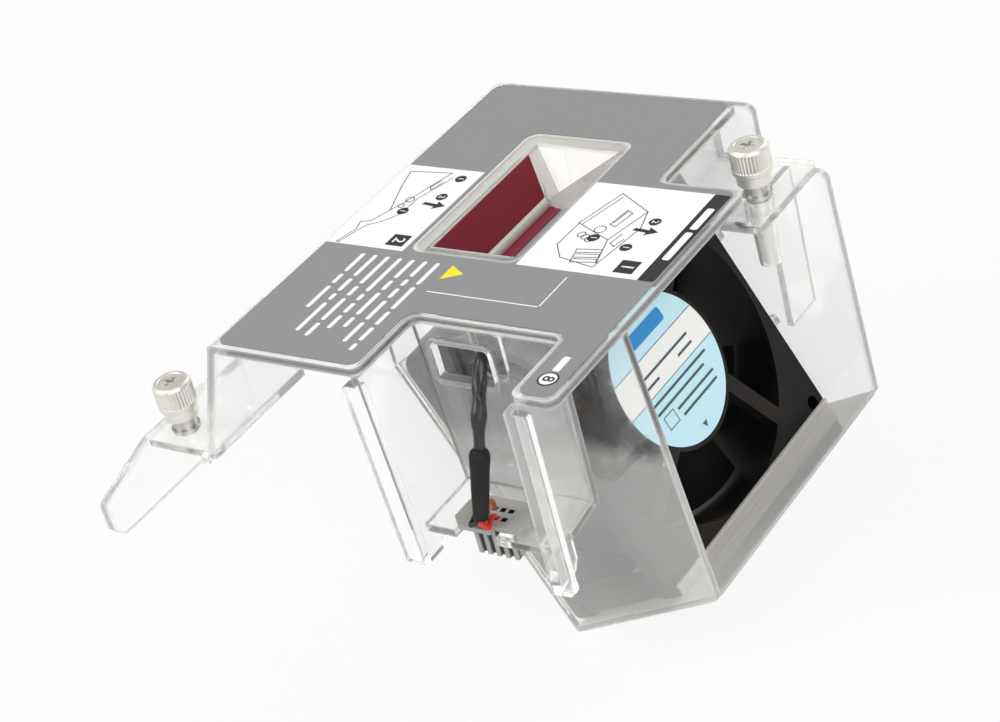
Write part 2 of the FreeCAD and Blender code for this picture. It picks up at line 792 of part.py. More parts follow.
def make_connector_shelf():
    """Shelf at the pocket's foot, open at the front where the connector drops in."""
    left = drafted(pocket_left, shelf_top)
    wall = right_wall_plan(shelf_near, pocket_length)
    outline = [(left, shelf_near), wall[1], wall[2], (left, pocket_length)]
    shelf = prism(outline, shelf_under, shelf_top)
    under_wedge = slab([(left, shelf_top, 0), (left, shelf_under, 0),
                        (drafted(pocket_left, shelf_under), shelf_under, 0)],
                       on_section(0), Vector(0, pocket_length, 0))
    foot_room = prism(right_wall_plan(0, right_foot_length), shelf_under, shelf_top)
    slot = box((slot_left, 0, shelf_under), (bar_left, plug_far + plug_clearance, shelf_top))
    hole = box((bar_left - sheet, shelf_near + shelf_bar, shelf_under),
               (plug_right + plug_clearance, plug_far + plug_clearance, shelf_top))
    return shelf.cut(fused([under_wedge, foot_room, slot, hole]))


def cavity_places():
    """Return the (x, y) middles of the connector's cavities, row by row."""
    middle_x = plug_middle_x + cavity_shift
    places = []
    for row in range(cavity_rows):
        y = plug_middle_y + (row - (cavity_rows - 1) / 2) * cavity_row_pitch
        for column in range(cavity_columns):
            places.append((middle_x + (column - (cavity_columns - 1) / 2) * cavity_pitch, y))
    return places


def make_connector_housing():
    """Blind-mate plug that hangs from a wide plate, with square cavities and fins on its front."""
    flange = prism([(flange_left, flange_near + flange_chamfer),
                    (flange_left + flange_chamfer, flange_near), (bar_left - flange_step, flange_near),
                    (bar_left - flange_step, flange_near + flange_step),
                    (flange_right, flange_near + flange_step), (flange_right, flange_far - flange_chamfer),
                    (flange_right - flange_chamfer, flange_far),
                    (flange_left + flange_chamfer, flange_far),
                    (flange_left, flange_far - flange_chamfer)], shelf_top, plug_top)
    body = box((plug_left, plug_near, plug_bottom), (plug_right, plug_far, shelf_top))
    pieces = [flange, body]
    for index in range(fin_count):
        x = plug_left + index * (plug_width - fin_width) / (fin_count - 1)
        pieces.append(box((x, plug_near - fin_height, plug_bottom), (x + fin_width, plug_near, shelf_top)))
    half = cavity_size / 2
    cavities = [box((x - half, y - half, plug_bottom), (x + half, y + half, plug_top))
                for x, y in cavity_places()]
    mouth = box((plug_left + plug_wall, plug_near + plug_wall, plug_bottom),
                (plug_right - plug_wall, plug_far - plug_wall, plug_bottom + plug_mouth))
    return fused(pieces).cut(fused(cavities + [mouth]))


def make_connector_contacts():
    """One contact in each cavity: a crimp block above and a thin pin below."""
    contacts = []
    half = cavity_size / 2
    tip = contact_tip / 2
    shoulder = contact_top - contact_length
    for x, y in cavity_places():
        crimp = box((x - half, y - half, shoulder), (x + half, y + half, contact_top))
        pin = box((x - tip, y - tip, plug_bottom + contact_inset), (x + tip, y + tip, shoulder))
        contacts.append(fused([crimp, pin]))
    return Part.makeCompound(contacts)


# Motor lead

lead_exit = (lead_down, lead_inset - fan_size / 2, fan_depth / 2 - lead_depth)
boot_run = Vector(*boot_end) - Vector(*boot_top)
boot_ahead = Vector(boot_run).normalize()
sleeve_route = [
    fan_point(lead_exit[0], lead_exit[1] + lead_start, lead_exit[2]),
    fan_point(lead_exit[0], -fan_size / 2 - lead_reach, lead_exit[2]),
    Vector(*lead_crest),
    Vector(*lead_drop),
    Vector(*boot_top) - boot_ahead * lead_hang,
    Vector(*boot_top),
]


def make_cable_sleeve():
    """Braided sleeve over the motor's leads, from the fan's gland to the boot."""
    return tube(sleeve_route, sleeve_radius)


def make_heat_shrink_boot():
    """Tapered heat-shrink boot that gathers the lead above the connector."""
    return Part.makeCone(boot_top_radius, boot_end_radius, boot_run.Length,
                         Vector(*boot_top), boot_ahead)


def make_wire(column, row, right, near, sweep):
    """Return one wire from the boot's end face into a cavity of the connector.

    right and near are 1 or -1 and say which side of the boot's axis the wire starts on; sweep is
    how far it swings sideways at its first bend.
    """
    x, y = cavity_places()[row * cavity_columns + column]
    side = boot_ahead.cross(Vector(0, 1, 0)).normalize()
    front = boot_ahead.cross(side).normalize()
    start = Vector(*boot_end) + side * (right * wire_spread) + front * (near * wire_spread)
    points = [start]
    if sweep:
        points.append(start + boot_ahead * wire_lead_in)
    points.append(start + boot_ahead * wire_straight + side * sweep)
    points.append(Vector(x, y, plug_top + (wire_far_rise if row else wire_rise)))
    points.append(Vector(x, y, contact_top))
    return tube(points, wire_radius)


# Fan

def make_fan_frame():
    """Frame with two square flanges, the air tube, corner posts and the lead's gland."""
    half = fan_size / 2
    depth = fan_depth / 2
    square = rectangle(-half, -half, half, half, fan_corner)
    pieces = [slab(square, on_level(z), Vector(0, 0, fan_flange)) for z in (-depth, depth - fan_flange)]
    pieces.append(rod(fan_bore + tube_wall, -depth, depth))
    corner = hole_pitch / 2
    places = [(x, y) for x in (-corner, corner) for y in (-corner, corner)]
    pieces += [rod(post_radius, -depth, depth, x, y) for x, y in places]
    down, _, out = lead_exit
    pieces.append(box((down - gland_width / 2, -half, out - gland_width / 2),
                      (down + gland_width / 2, -half + gland_length, depth)))
    frame = fused(pieces).cut(rod(fan_bore, -depth, depth))
    holes = [rod(hole_radius, -depth, depth, x, y) for x, y in places]
    mouth = Part.makeCylinder(sleeve_radius + gland_clearance, gland_length,
                              Vector(down, -half, out), Vector(0, 1, 0))
    return frame.cut(fused(holes)).cut(mouth)


def make_motor_base():
    """Round base of the motor with the struts that carry it inside the frame's air tube."""
    depth = fan_depth / 2
    pieces = [rod(base_radius, base_bottom, depth)]
    for index in range(strut_count):
        width = lead_strut_width if index == lead_strut else strut_width
        angles = [math.radians(a + 360 / strut_count * index) for a in (strut_start_angle, strut_end_angle)]
        start = Vector(math.cos(angles[0]), math.sin(angles[0]), 0) * (base_radius - tube_wall)
        end = Vector(math.cos(angles[1]), math.sin(angles[1]), 0) * (fan_bore + tube_wall)
        along = (end - start).normalize()
        across = Vector(-along.y, along.x, 0) * (width / 2)
        corners = [(v.x, v.y) for v in (start + across, start - across, end - across, end + across)]
        pieces.append(prism(corners, depth - strut_depth, depth))
    base = fused(pieces).common(rod(fan_bore, -depth, depth))
    recess = rod(label_radius, depth - label_recess, depth)
    seat = rod(tube_outer, base_bottom, base_bottom + base_height / 2)
    return base.cut(fused([recess, seat]))


def make_hub_label():
    """Round label in the recess of the motor base."""
    return rod(label_radius, fan_depth / 2 - label_recess, fan_depth / 2)


def blade_section(radius, pitch, shift):
    """Return the closed profile of a blade on the plane at a radius from the axis."""
    pitch_angle = math.radians(pitch)
    half = blade_chord / 2
    bow = blade_camber * blade_chord

    def at(run, lift):
        across = run * math.cos(pitch_angle) - lift * math.sin(pitch_angle)
        rise = run * math.sin(pitch_angle) + lift * math.cos(pitch_angle)
        return Vector(radius, across + shift, rise)

    tail = at(-half, 0)
    nose = at(half, 0)
    upper = Part.Arc(tail, at(0, bow + blade_thickness / 2), nose).toShape()
    lower = Part.Arc(nose, at(0, bow - blade_thickness / 2), tail).toShape()
    return Part.Wire([upper, lower])


def make_impeller():
    """Hub cup with swept blades."""
    middle = (hub_bottom + hub_top) / 2
    cup = rod(hub_radius, hub_bottom, hub_top)
    lowest = [e for e in cup.Edges if len(e.Vertexes) == 1 and e.BoundBox.ZMax < hub_bottom + 0.1]
    cup = cup.makeFillet(hub_corner, lowest)
    tip_radius = fan_bore - blade_tip_gap
    sections = [blade_section(hub_radius - hub_wall, blade_root_pitch, 0),
                blade_section(tip_radius + blade_overrun, blade_tip_pitch, blade_sweep)]
    blade = Part.makeLoft(sections, True, True)
    blade.translate(Vector(0, 0, middle))
    reach = ring(tip_radius, hub_radius - hub_wall / 2, hub_bottom, hub_top)
    blade = blade.common(reach)
    blades = [turned(blade, 360 / blade_count * index) for index in range(blade_count)]
    body = fused([cup] + blades)
    hollow = rod(hub_inner, hub_bottom + hub_wall, hub_top)
    return body.cut(hollow).cut(rod(shaft_radius, hub_bottom, hub_top))


def make_rotor_yoke():
    """Steel cup pressed into the hub, which closes the magnet's circuit."""
    floor = hub_bottom + hub_wall
    shell = ring(hub_inner, yoke_inner, floor, floor + yoke_length)
    end = ring(hub_inner, hub_inner / 2, floor, floor + yoke_wall)
    return fused([shell, end])


def make_rotor_magnet():
    """Ring magnet inside the yoke."""
    floor = hub_bottom + hub_wall + yoke_wall + magnet_lift
    return ring(yoke_inner, magnet_inner, floor, floor + magnet_length)


bearing_low = bearing_tube_bottom + bearing_inset
bearing_high = base_bottom - bearing_inset - bearing_width
clip_bottom = bearing_high + bearing_width + clip_play
clip_groove = shaft_radius - clip_groove_depth


def make_rotor_shaft():
    """Shaft fixed in the hub, with the groove of its clip near the free end."""
    shaft = rod(shaft_radius, hub_bottom, clip_bottom + clip_thickness + shaft_end)
    return shaft.cut(ring(shaft_radius, clip_groove, clip_bottom, clip_bottom + clip_thickness))


def make_shaft_clip():
    """Spring clip in the shaft's groove, which keeps the rotor from sliding out."""
    clip = ring(clip_radius, clip_groove, clip_bottom, clip_bottom + clip_thickness)
    half = clip_mouth / 2
    mouth = box((0, -half, clip_bottom), (clip_radius, half, clip_bottom + clip_thickness))
    return clip.cut(mouth)


def make_preload_spring():
    """Small coil spring round the shaft, between the hub and the lower bearing."""
    return coil(preload_radius, preload_wire, hub_bottom + hub_wall, bearing_low, preload_turns)


def make_bearing_tube():
    """Brass tube set in the motor base, which holds both bearings and the stator."""
    tube_body = ring(tube_outer, bearing_radius, bearing_tube_bottom, base_bottom + base_height / 2)
    inner_lip = ring(bearing_radius, bearing_lip, bearing_low + bearing_width, bearing_high)
    return fused([tube_body, inner_lip])


def make_bearing(bottom):
    """Ball bearing as one ring with a shallow groove in each face."""
    bearing = ring(bearing_radius, shaft_radius + shaft_clearance, bottom, bottom + bearing_width)
    grooves = [ring(bearing_radius - bearing_ring, shaft_radius + bearing_ring, z, z + bearing_groove)
               for z in (bottom, bottom + bearing_width - bearing_groove)]
    return bearing.cut(fused(grooves))


def make_stator_core():
    """Laminated stator: a hub on the bearing tube, a neck for each pole and curved shoes."""
    bottom = stator_middle - stator_length / 2
    top = stator_middle + stator_length / 2
    hub = tube_outer + stator_hub_wall
    shoes = ring(stator_radius, stator_radius - pole_shoe, bottom, top)
    pieces = [ring(hub, tube_outer, bottom, top)]
    gaps = []
    for index in range(pole_count):
        angle = 360 / pole_count * index
        neck = box((hub - stator_hub_wall / 2, -pole_width / 2, bottom),
                   (stator_radius - pole_shoe / 2, pole_width / 2, top))
        gap = box((hub, -pole_gap / 2, bottom), (stator_radius + pole_gap, pole_gap / 2, top))
        pieces.append(turned(neck, angle))
        gaps.append(turned(gap, angle + 180 / pole_count))
    return fused(pieces + [shoes.cut(fused(gaps))])


def make_stator_windings():
    """One coil round the neck of each pole."""
    bottom = stator_middle - stator_length / 2 - coil_wall
    top = stator_middle + stator_length / 2 + coil_wall
    inner = tube_outer + stator_hub_wall + coil_gap
    outer = stator_radius - pole_shoe - coil_gap
    half = pole_width / 2 + coil_wall
    narrow = inner * math.tan(math.pi / pole_count) * coil_taper
    wide = inner + half - narrow
    outline = [(inner, -narrow, 0), (wide, -half, coil_corner), (outer, -half, coil_corner),
               (outer, half, coil_corner), (wide, half, coil_corner), (inner, narrow, 0)]
    coils = []
    for index in range(pole_count):
        block = slab(outline, on_level(bottom), Vector(0, 0, top - bottom))
        neck = box((0, -pole_width / 2, bottom + coil_wall),
                   (stator_radius, pole_width / 2, top - coil_wall))
        winding = block.cut(neck).common(rod(outer, bottom, top))
        coils.append(turned(winding, 360 / pole_count * index))
    return Part.makeCompound(coils)


def make_motor_board():
    """Round circuit board under the motor base, with its driver chips."""
    bottom = base_bottom - board_thickness
    board = ring(board_radius, tube_outer, bottom, base_bottom)
    pieces = [board]
    for length, width, height, angle in board_parts:
        part = box((board_part_radius, -width / 2, bottom - height),
                   (board_part_radius + length, width / 2, bottom))
        pieces.append(turned(part, angle))
    return fused(pieces)


# Captive thumbscrews

def make_knob(x, y, ledge):
    """Knurled knob over the spring, open below and with the screw's head set in its top."""
    bottom = ledge + knob_lift
    top = bottom + knob_height
    knob = rod(knob_radius, bottom, top, x, y)
    circles = [e for e in knob.Edges if len(e.Vertexes) == 1 and e.Closed]
    knob = knob.makeChamfer(knob_chamfer, circles)
    flute = rod(knurl_depth, bottom + knurl_start, top - knurl_end, knob_radius)
    flutes = [turned(flute, 360 / knurl_count * index) for index in range(knurl_count)]
    for shape in flutes:
        shape.translate(Vector(x, y, 0))
    waist = ring(knob_radius + waist_depth, knob_radius - waist_depth, bottom, bottom + waist_height, x, y)
    cuts = [rod(knob_bore, bottom, bottom + knob_bore_depth, x, y), rod(neck_radius, bottom, top, x, y),
            rod(screw_head_radius, top - screw_head_height, top, x, y)]
    return knob.cut(Part.makeCompound(flutes)).cut(waist).cut(fused(cuts))


def make_stud(x, y, ledge, seat):
    """Screw pressed into the knob: crossed head, slim neck and a captive threaded end."""
    top = ledge + knob_lift + knob_height
    shoulder = ledge + knob_lift + knob_overlap - ferrule_lip - lip_clearance
    tip = seat + tip_clearance
    head = rod(screw_head_radius, top - screw_head_height, top - head_recess, x, y)
    neck = rod(neck_radius, shoulder, top - screw_head_height, x, y)
    thread = rod(thread_radius, tip, shoulder, x, y)
    lowest = [e for e in thread.Edges if e.BoundBox.ZMax < tip + 0.01 and e.Closed]
    thread = thread.makeChamfer(thread_chamfer, lowest)
    floor = top - head_recess - cross_depth
    long = cross_length / 2
    slim = cross_width / 2
    arms = [box((x - a, y - b, floor), (x + a, y + b, top)) for a, b in ((long, slim), (slim, long))]
    return fused([head, neck, thread]).cut(fused(arms))


def make_ferrule(x, y, ledge):
    """Sleeve pressed into the bracket, with the inner lip that keeps the screw captive."""
    top = ledge + knob_lift + knob_overlap
    body = rod(ferrule_body, ledge - sheet, ledge, x, y)
    shoulder = rod(ferrule_shoulder, ledge, ledge + ferrule_shoulder_height, x, y)
    neck = rod(ferrule_neck, ledge, top, x, y)
    bore = rod(ferrule_bore, ledge - sheet, top - ferrule_lip, x, y)
    lip = rod(neck_radius + lip_clearance, ledge, top, x, y)
    return fused([body, shoulder, neck]).cut(fused([bore, lip]))


def make_screw_spring(x, y, ledge):
    """Spring that lifts the knob off the ferrule when the screw is released."""
    return coil(spring_radius, spring_wire, ledge + knob_lift + knob_overlap,
                ledge + knob_lift + knob_bore_depth, spring_turns, x, y)


# Assembly

pieces = {
    "top_cover": make_top_cover(),
    "cover_overlay": make_overlay(),
    "grip_tray": make_grip_tray(),
    "grip_pad_left": make_grip_pad_left(),
    "grip_pad_right": make_grip_pad_right(),
    "left_bracket": make_left_bracket(),
    "right_bracket": make_right_bracket(),
    "duct_near_panel": make_duct_near_panel(),
    "duct_far_panel": make_duct_far_panel(),
    "duct_floor": make_duct_floor(),
    "window_panel": make_window_panel(),
    "pocket_side_left": make_pocket_side_left(),
    "pocket_side_right": make_pocket_side_right(),
    "connector_shelf": make_connector_shelf(),
    "connector_housing": make_connector_housing(),
    "connector_contacts": make_connector_contacts(),
    "cable_sleeve": make_cable_sleeve(),
    "heat_shrink_boot": make_heat_shrink_boot(),
    "wire_red": make_wire(2, 0, 1, 1, wire_sweep),
    "wire_black": make_wire(0, 0, -1, 1, -wire_sweep),
    "wire_orange": make_wire(1, 0, -1, -1, 0),
    "wire_brown": make_wire(1, 1, 1, -1, 0),
}

fan_pieces = {
    "fan_frame": make_fan_frame(),
    "motor_base": make_motor_base(),
    "hub_label": make_hub_label(),
    "impeller": make_impeller(),
    "rotor_yoke": make_rotor_yoke(),
    "rotor_magnet": make_rotor_magnet(),
    "rotor_shaft": make_rotor_shaft(),
    "shaft_clip": make_shaft_clip(),
    "preload_spring": make_preload_spring(),
    "bearing_tube": make_bearing_tube(),
    "lower_bearing": make_bearing(bearing_low),
    "upper_bearing": make_bearing(bearing_high),
    "stator_core": make_stator_core(),
    "stator_windings": make_stator_windings(),
    "motor_board": make_motor_board(),
}
for name, shape in fan_pieces.items():
    pieces[name] = tilted(shape)

screws = {
    "left": (left_screw_x, left_screw_y, -skirt_height, seat_z),
    "right": (right_screw_x, right_screw_y, ledge_top, ledge_under - boss_length),
}
for side, (x, y, ledge, seat) in screws.items():
    pieces[side + "_knob"] = make_knob(x, y, ledge)
    pieces[side + "_stud"] = make_stud(x, y, ledge, seat)
    pieces[side + "_ferrule"] = make_ferrule(x, y, ledge)
    pieces[side + "_spring"] = make_screw_spring(x, y, ledge)

os.makedirs("parts", exist_ok=True)
origin = Vector(left_screw_x, left_screw_y, seat_z)
for name, shape in pieces.items():
    placed = shape.copy()
    placed.translate(-origin)
    placed.exportStep("parts/" + name + ".step")
    print(f"{name:20s} solids {len(placed.Solids)} volume {placed.Volume:10.1f} valid {placed.isValid()}")
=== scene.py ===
"""The looks of a server fan module: its clear duct, printed films, black fan, lead and captive screws.

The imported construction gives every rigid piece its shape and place. This script gives those pieces
their finishes, prints the films, dresses the lead, and sets the lamps, the floor and the camera.
"""

from __future__ import annotations

import json
import logging
import math
from collections.abc import Callable, Sequence
from dataclasses import dataclass, field
from enum import Enum
from typing import Any

import bmesh
import bpy
from mathutils import Matrix, Vector

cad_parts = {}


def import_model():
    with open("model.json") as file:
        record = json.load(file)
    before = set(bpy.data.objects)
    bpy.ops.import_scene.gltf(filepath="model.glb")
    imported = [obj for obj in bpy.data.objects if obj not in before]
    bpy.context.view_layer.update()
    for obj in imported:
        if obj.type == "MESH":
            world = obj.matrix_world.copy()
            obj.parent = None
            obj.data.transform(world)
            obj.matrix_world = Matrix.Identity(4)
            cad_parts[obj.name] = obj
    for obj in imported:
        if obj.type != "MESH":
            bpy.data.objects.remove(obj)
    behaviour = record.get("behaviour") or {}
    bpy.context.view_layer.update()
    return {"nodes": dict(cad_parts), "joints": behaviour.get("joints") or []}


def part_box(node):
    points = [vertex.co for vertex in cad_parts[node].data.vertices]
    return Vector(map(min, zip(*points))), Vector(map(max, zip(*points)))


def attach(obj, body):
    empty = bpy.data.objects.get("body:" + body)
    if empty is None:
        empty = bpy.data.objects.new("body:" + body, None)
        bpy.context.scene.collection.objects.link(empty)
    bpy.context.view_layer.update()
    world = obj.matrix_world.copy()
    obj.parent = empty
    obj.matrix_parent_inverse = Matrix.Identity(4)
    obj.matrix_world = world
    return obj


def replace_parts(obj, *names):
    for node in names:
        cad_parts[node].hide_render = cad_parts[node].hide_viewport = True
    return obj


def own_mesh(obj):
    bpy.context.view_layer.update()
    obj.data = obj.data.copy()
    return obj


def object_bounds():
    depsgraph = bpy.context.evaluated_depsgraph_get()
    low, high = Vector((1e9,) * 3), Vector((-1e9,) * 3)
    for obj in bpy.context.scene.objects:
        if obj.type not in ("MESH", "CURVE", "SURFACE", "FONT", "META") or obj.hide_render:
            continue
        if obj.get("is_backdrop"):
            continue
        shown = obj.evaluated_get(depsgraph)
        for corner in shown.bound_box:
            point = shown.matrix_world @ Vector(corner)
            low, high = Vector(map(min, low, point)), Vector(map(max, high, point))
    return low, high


log = logging.getLogger("fan_module")

MM = 0.001
Point = tuple[float, float]
Place = tuple[float, float, float]
Colour = tuple[float, float, float]
Socket = bpy.types.NodeSocket


# Shader maths


def operator(operation: str, swapped: bool = False) -> Callable[[Signal, Signal | float], Signal]:
    """Makes a Python operator out of a Math node.

    Args:
        operation: the Math node's operation.
        swapped: whether the signal is the second term.

    Returns:
        A method for the Signal class.
    """
    def method(self: Signal, other: Signal | float) -> Signal:
        """Returns the result of the operation on both terms."""
        terms = (other, self) if swapped else (self, other)
        return self.maths(operation, *terms)
    return method


class Signal:
    """A number socket that takes part in Python arithmetic by adding Math nodes."""

    def __init__(self, shader: Shader, socket: Socket) -> None:
        """Keeps the shader that owns the socket, and the socket."""
        self.shader = shader
        self.socket = socket

    def maths(self, operation: str, *terms: Signal | float) -> Signal:
        """Adds one Math node.

        Args:
            operation: the Math node's operation.
            terms: its inputs, in order.

        Returns:
            The node's result.
        """
        return self.shader.out(self.shader.node("Math", dict(enumerate(terms)), operation=operation))

    __add__ = operator("ADD")
    __radd__ = operator("ADD", swapped=True)
    __sub__ = operator("SUBTRACT")
    __rsub__ = operator("SUBTRACT", swapped=True)
    __mul__ = operator("MULTIPLY")
    __truediv__ = operator("DIVIDE")

    def above(self, level: float) -> Signal:
        """Returns 1 where self is over level, and 0 elsewhere."""
        return self.maths("GREATER_THAN", self, level)

    def between(self, low: float, high: float) -> Signal:
        """Returns 1 where self is over low and not over high, and 0 elsewhere."""
        return self.above(low) * (1.0 - self.above(high))

    def sine(self) -> Signal:
        """Returns the sine of self."""
        return self.maths("SINE", self)

    def clamped(self) -> Signal:
        """Returns self held between 0 and 1."""
        low = self.maths("MAXIMUM", self, 0.0)
        return low.maths("MINIMUM", low, 1.0)

    def either(self, other: Signal) -> Signal:
        """Returns the larger of self and other."""
        return self.maths("MAXIMUM", self, other)


class Shader:
    """One node tree, of a material or of the world, and the ways to add nodes to it."""

    def __init__(self, owner: bpy.types.Material | bpy.types.World) -> None:
        """Empties the owner's node tree and keeps it."""
        owner.use_nodes = True
        self.owner = owner
        self.tree = owner.node_tree
        self.tree.nodes.clear()

    def node(self, kind: str, inputs: dict[str | int, Any] | None = None, **settings: Any) -> bpy.types.Node:
        """Adds a node.

        Args:
            kind: the node's type name, less its prefix.
            inputs: values, sockets or signals for its input sockets, by name or number.
            settings: attributes of the node, set first.

        Returns:
            The new node.
        """
        made = self.tree.nodes.new(f"ShaderNode{kind}")
        for name, value in settings.items():
            setattr(made, name, value)
        for name, value in (inputs or {}).items():
            if isinstance(value, Signal):
                value = value.socket
            if isinstance(value, Socket):
                self.tree.links.new(value, made.inputs[name])
            else:
                made.inputs[name].default_value = value
        return made

    def out(self, node: bpy.types.Node, name: str | int = 0) -> Signal:
        """Returns an output of a node as a signal."""
        return Signal(self, node.outputs[name])

    def place(self, stretch: Sequence[float] = (1, 1, 1)) -> Socket:
        """Returns the piece's own coordinates, stretched along each axis."""
        here = self.node("TexCoord").outputs["Object"]
        return self.node("Mapping", {"Vector": here, "Scale": tuple(stretch)}).outputs[0]

    def axes(self, vector: Socket | None = None) -> tuple[Signal, ...]:
        """Splits a vector into its three numbers.

        Args:
            vector: what to split, which is the piece's own coordinates where it is left out.

        Returns:
            Its X, Y and Z.
        """
        whole = self.place() if vector is None else vector
        split = self.node("SeparateXYZ", {"Vector": whole})
        return tuple(self.out(split, axis) for axis in "XYZ")

    def noise(self, scale: float, detail: float = 2.0, stretch: Sequence[float] = (1, 1, 1)) -> Signal:
        """Returns a noise pattern between 0 and 1.

        Args:
            scale: bumps per metre.
            detail: octaves of finer noise.
            stretch: factors on the coordinates, for streaks.

        Returns:
            The pattern.
        """
        inputs = {"Vector": self.place(stretch), "Scale": scale, "Detail": detail}
        return self.out(self.node("TexNoise", inputs), "Fac")

    def blend(self, share: Signal, low: Colour, high: Colour) -> Socket:
        """Returns a colour between low and high, by share."""
        return self.mix(share, (*low, 1.0), high)

    def mix(self, share: Signal, low: Socket | tuple[float, ...],
            high: Colour) -> Socket:
        """Mixes two colours.

        Args:
            share: the share of high.
            low: the first colour, which may be a socket.
            high: the second colour.

        Returns:
            The colour between them.
        """
        return self.node("Mix", {0: share, 6: low, 7: (*high, 1.0)}, data_type="RGBA").outputs[2]

    def bump(self, height: Signal, depth: float, strength: float = 1.0) -> Socket:
        """Bends the normal by a height pattern.

        Args:
            height: the pattern.
            depth: how far it rises, in metres.
            strength: the share of it that shows.

        Returns:
            The bent normal.
        """
        inputs = {"Height": height, "Distance": depth, "Strength": strength}
        return self.node("Bump", inputs).outputs["Normal"]

    def principled(self, **values: Any) -> Socket:
        """Adds a Principled shader.

        Args:
            values: its inputs by their names, with underscores for spaces.

        Returns:
            The shader.
        """
        inputs = {name.replace("_", " "): value for name, value in values.items()}
        return self.node("BsdfPrincipled", inputs).outputs[0]

    def ray(self, *kinds: str) -> Signal:
        """Tells some kinds of ray from the others.

        Args:
            kinds: the kinds to find, such as Camera or Glossy.

        Returns:
            1 for a ray of any of the kinds, and 0 for the others.
        """
        path = self.node("LightPath")
        found = self.out(path, f"Is {kinds[0]} Ray")
        for kind in kinds[1:]:
            found = found.either(self.out(path, f"Is {kind} Ray"))
        return found

    def layers(self, share: Signal, under: Socket, over: Socket) -> Socket:
        """Returns the shader under, covered by the shader over by share."""
        return self.node("MixShader", {0: share, 1: under, 2: over}).outputs[0]

    def surface(self, shader: Socket) -> None:
        """Sends a shader to the output."""
        kind = "World" if isinstance(self.owner, bpy.types.World) else "Material"
        self.node(f"Output{kind}", {"Surface": shader})


class Finish:
    """A finish, whose kinds each lay out their own nodes."""

    def make(self, name: str) -> bpy.types.Material:
        """Makes the finish's material.

        Args:
            name: the material's name.

        Returns:
            The new material.
        """
        shader = Shader(bpy.data.materials.new(name))
        shader.surface(self.plan(shader))
        return shader.owner

    def plan(self, shader: Shader) -> Socket:
        """Adds the finish's nodes.

        Args:
            shader: the empty node tree to add them to.

        Returns:
            The socket to show.
        """
        raise NotImplementedError


@dataclass(frozen=True)
class ClearSheet(Finish):
    """Clear moulded plastic, with faint waves, light scuffs, and a pale painted highlight along its edges
    where they catch the light.
    """

    tint: Colour = (0.985, 0.985, 0.978)
    clearness: float = 0.87
    index: float = 1.5
    gloss: float = 0.03
    wave: float = 0.12 * MM
    wave_scale: float = 28.0
    scuffs: float = 0.12
    scuff_scale: float = 260.0
    shine: float = 0.5
    lamp_share: float = 0.93
    # edge, edge_reach and edge_share: the colour, reach and share of the painted highlight along the edges
    edge: Colour = (0.86, 0.85, 0.82)
    edge_reach: float = 1.3 * MM
    edge_share: float = 0.42
    # the painted reflection over the lower part of the sheet: its share, its top and the softness of its
    # upper edge
    veil_share: float = 0.0
    veil_top: float = -1.0 * MM
    veil_fade: float = 6.0 * MM

    def plan(self, shader: Shader) -> Socket:
        """Lays out the clear sheet, which lets lamps through, under a pale painted highlight along its edges.

        Args:
            shader: the empty node tree.

        Returns:
            The socket to show.
        """
        waves = shader.noise(self.wave_scale, 1.5)
        scratches = shader.noise(self.scuff_scale, 6.0, (1.0, 0.25, 1.0))
        marks = ((scratches - 0.56) * 6.0).clamped()
        bent = shader.bump(waves, self.wave, 0.35)
        sheet = shader.principled(
            Base_Color=(*self.tint, 1.0), Roughness=self.gloss + marks * self.scuffs, IOR=self.index,
            Transmission_Weight=self.clearness, Specular_IOR_Level=self.shine, Normal=bent)
        depth = shader.out(shader.node("AmbientOcclusion", {"Distance": self.edge_reach},
                                       inside=True, only_local=True, samples=6), "AO")
        # painted highlight: the share of the pale painted layer, strongest at the thin edges
        rim = ((1.0 - depth) * 3.0 - 0.2).clamped() * self.edge_share
        # the painted reflection over the lower part of the sheet joins the painted highlight
        if self.veil_share:
            rim = rim.either(self._veil(shader, waves))
        # the pale painted layer that carries the painted highlight and the painted reflection
        painted_light = shader.principled(Base_Color=(*self.edge, 1.0), Roughness=0.25, Normal=bent)
        plastic = shader.layers(rim, sheet, painted_light)
        lamp_rays = shader.node("BsdfTransparent", {"Color": (*[self.lamp_share] * 3, 1.0)}).outputs[0]
        return shader.layers(shader.ray("Shadow"), plastic, lamp_rays)

    def _veil(self, shader: Shader, waves: Signal) -> Signal:
        """Lays out a painted reflection: a pale haze over the lower part of a sheet, with a soft and wavy
        upper edge.

        Args:
            shader: the node tree.
            waves: the sheet's own faint waves.

        Returns:
            How much painted reflection there is, from 0 to its full share.
        """
        _, _, height = shader.axes()
        line = self.veil_top + (waves - 0.5) * self.veil_fade
        return ((line - height) / self.veil_fade + 0.5).clamped() * self.veil_share


@dataclass(frozen=True)
class Film(Finish):
    """Printed label film with a fine mottle."""

    colour: Colour
    roughness: float = 0.42
    mottle: float = 0.05
    mottle_scale: float = 900.0
    depth: float = 0.02 * MM
    shine: float = 0.3

    def plan(self, shader: Shader) -> Socket:
        """Lays out the film.

        Args:
            shader: the empty node tree.

        Returns:
            The socket to show.
        """
        cloud = shader.noise(self.mottle_scale, 3.0)
        dark = tuple(part * (1 - self.mottle) for part in self.colour)
        light = tuple(min(1.0, part * (1 + self.mottle)) for part in self.colour)
        return shader.principled(
            Base_Color=shader.blend(cloud, dark, light), Roughness=self.roughness + cloud * 0.08,
            Specular_IOR_Level=self.shine, Normal=shader.bump(cloud, self.depth, 0.4))


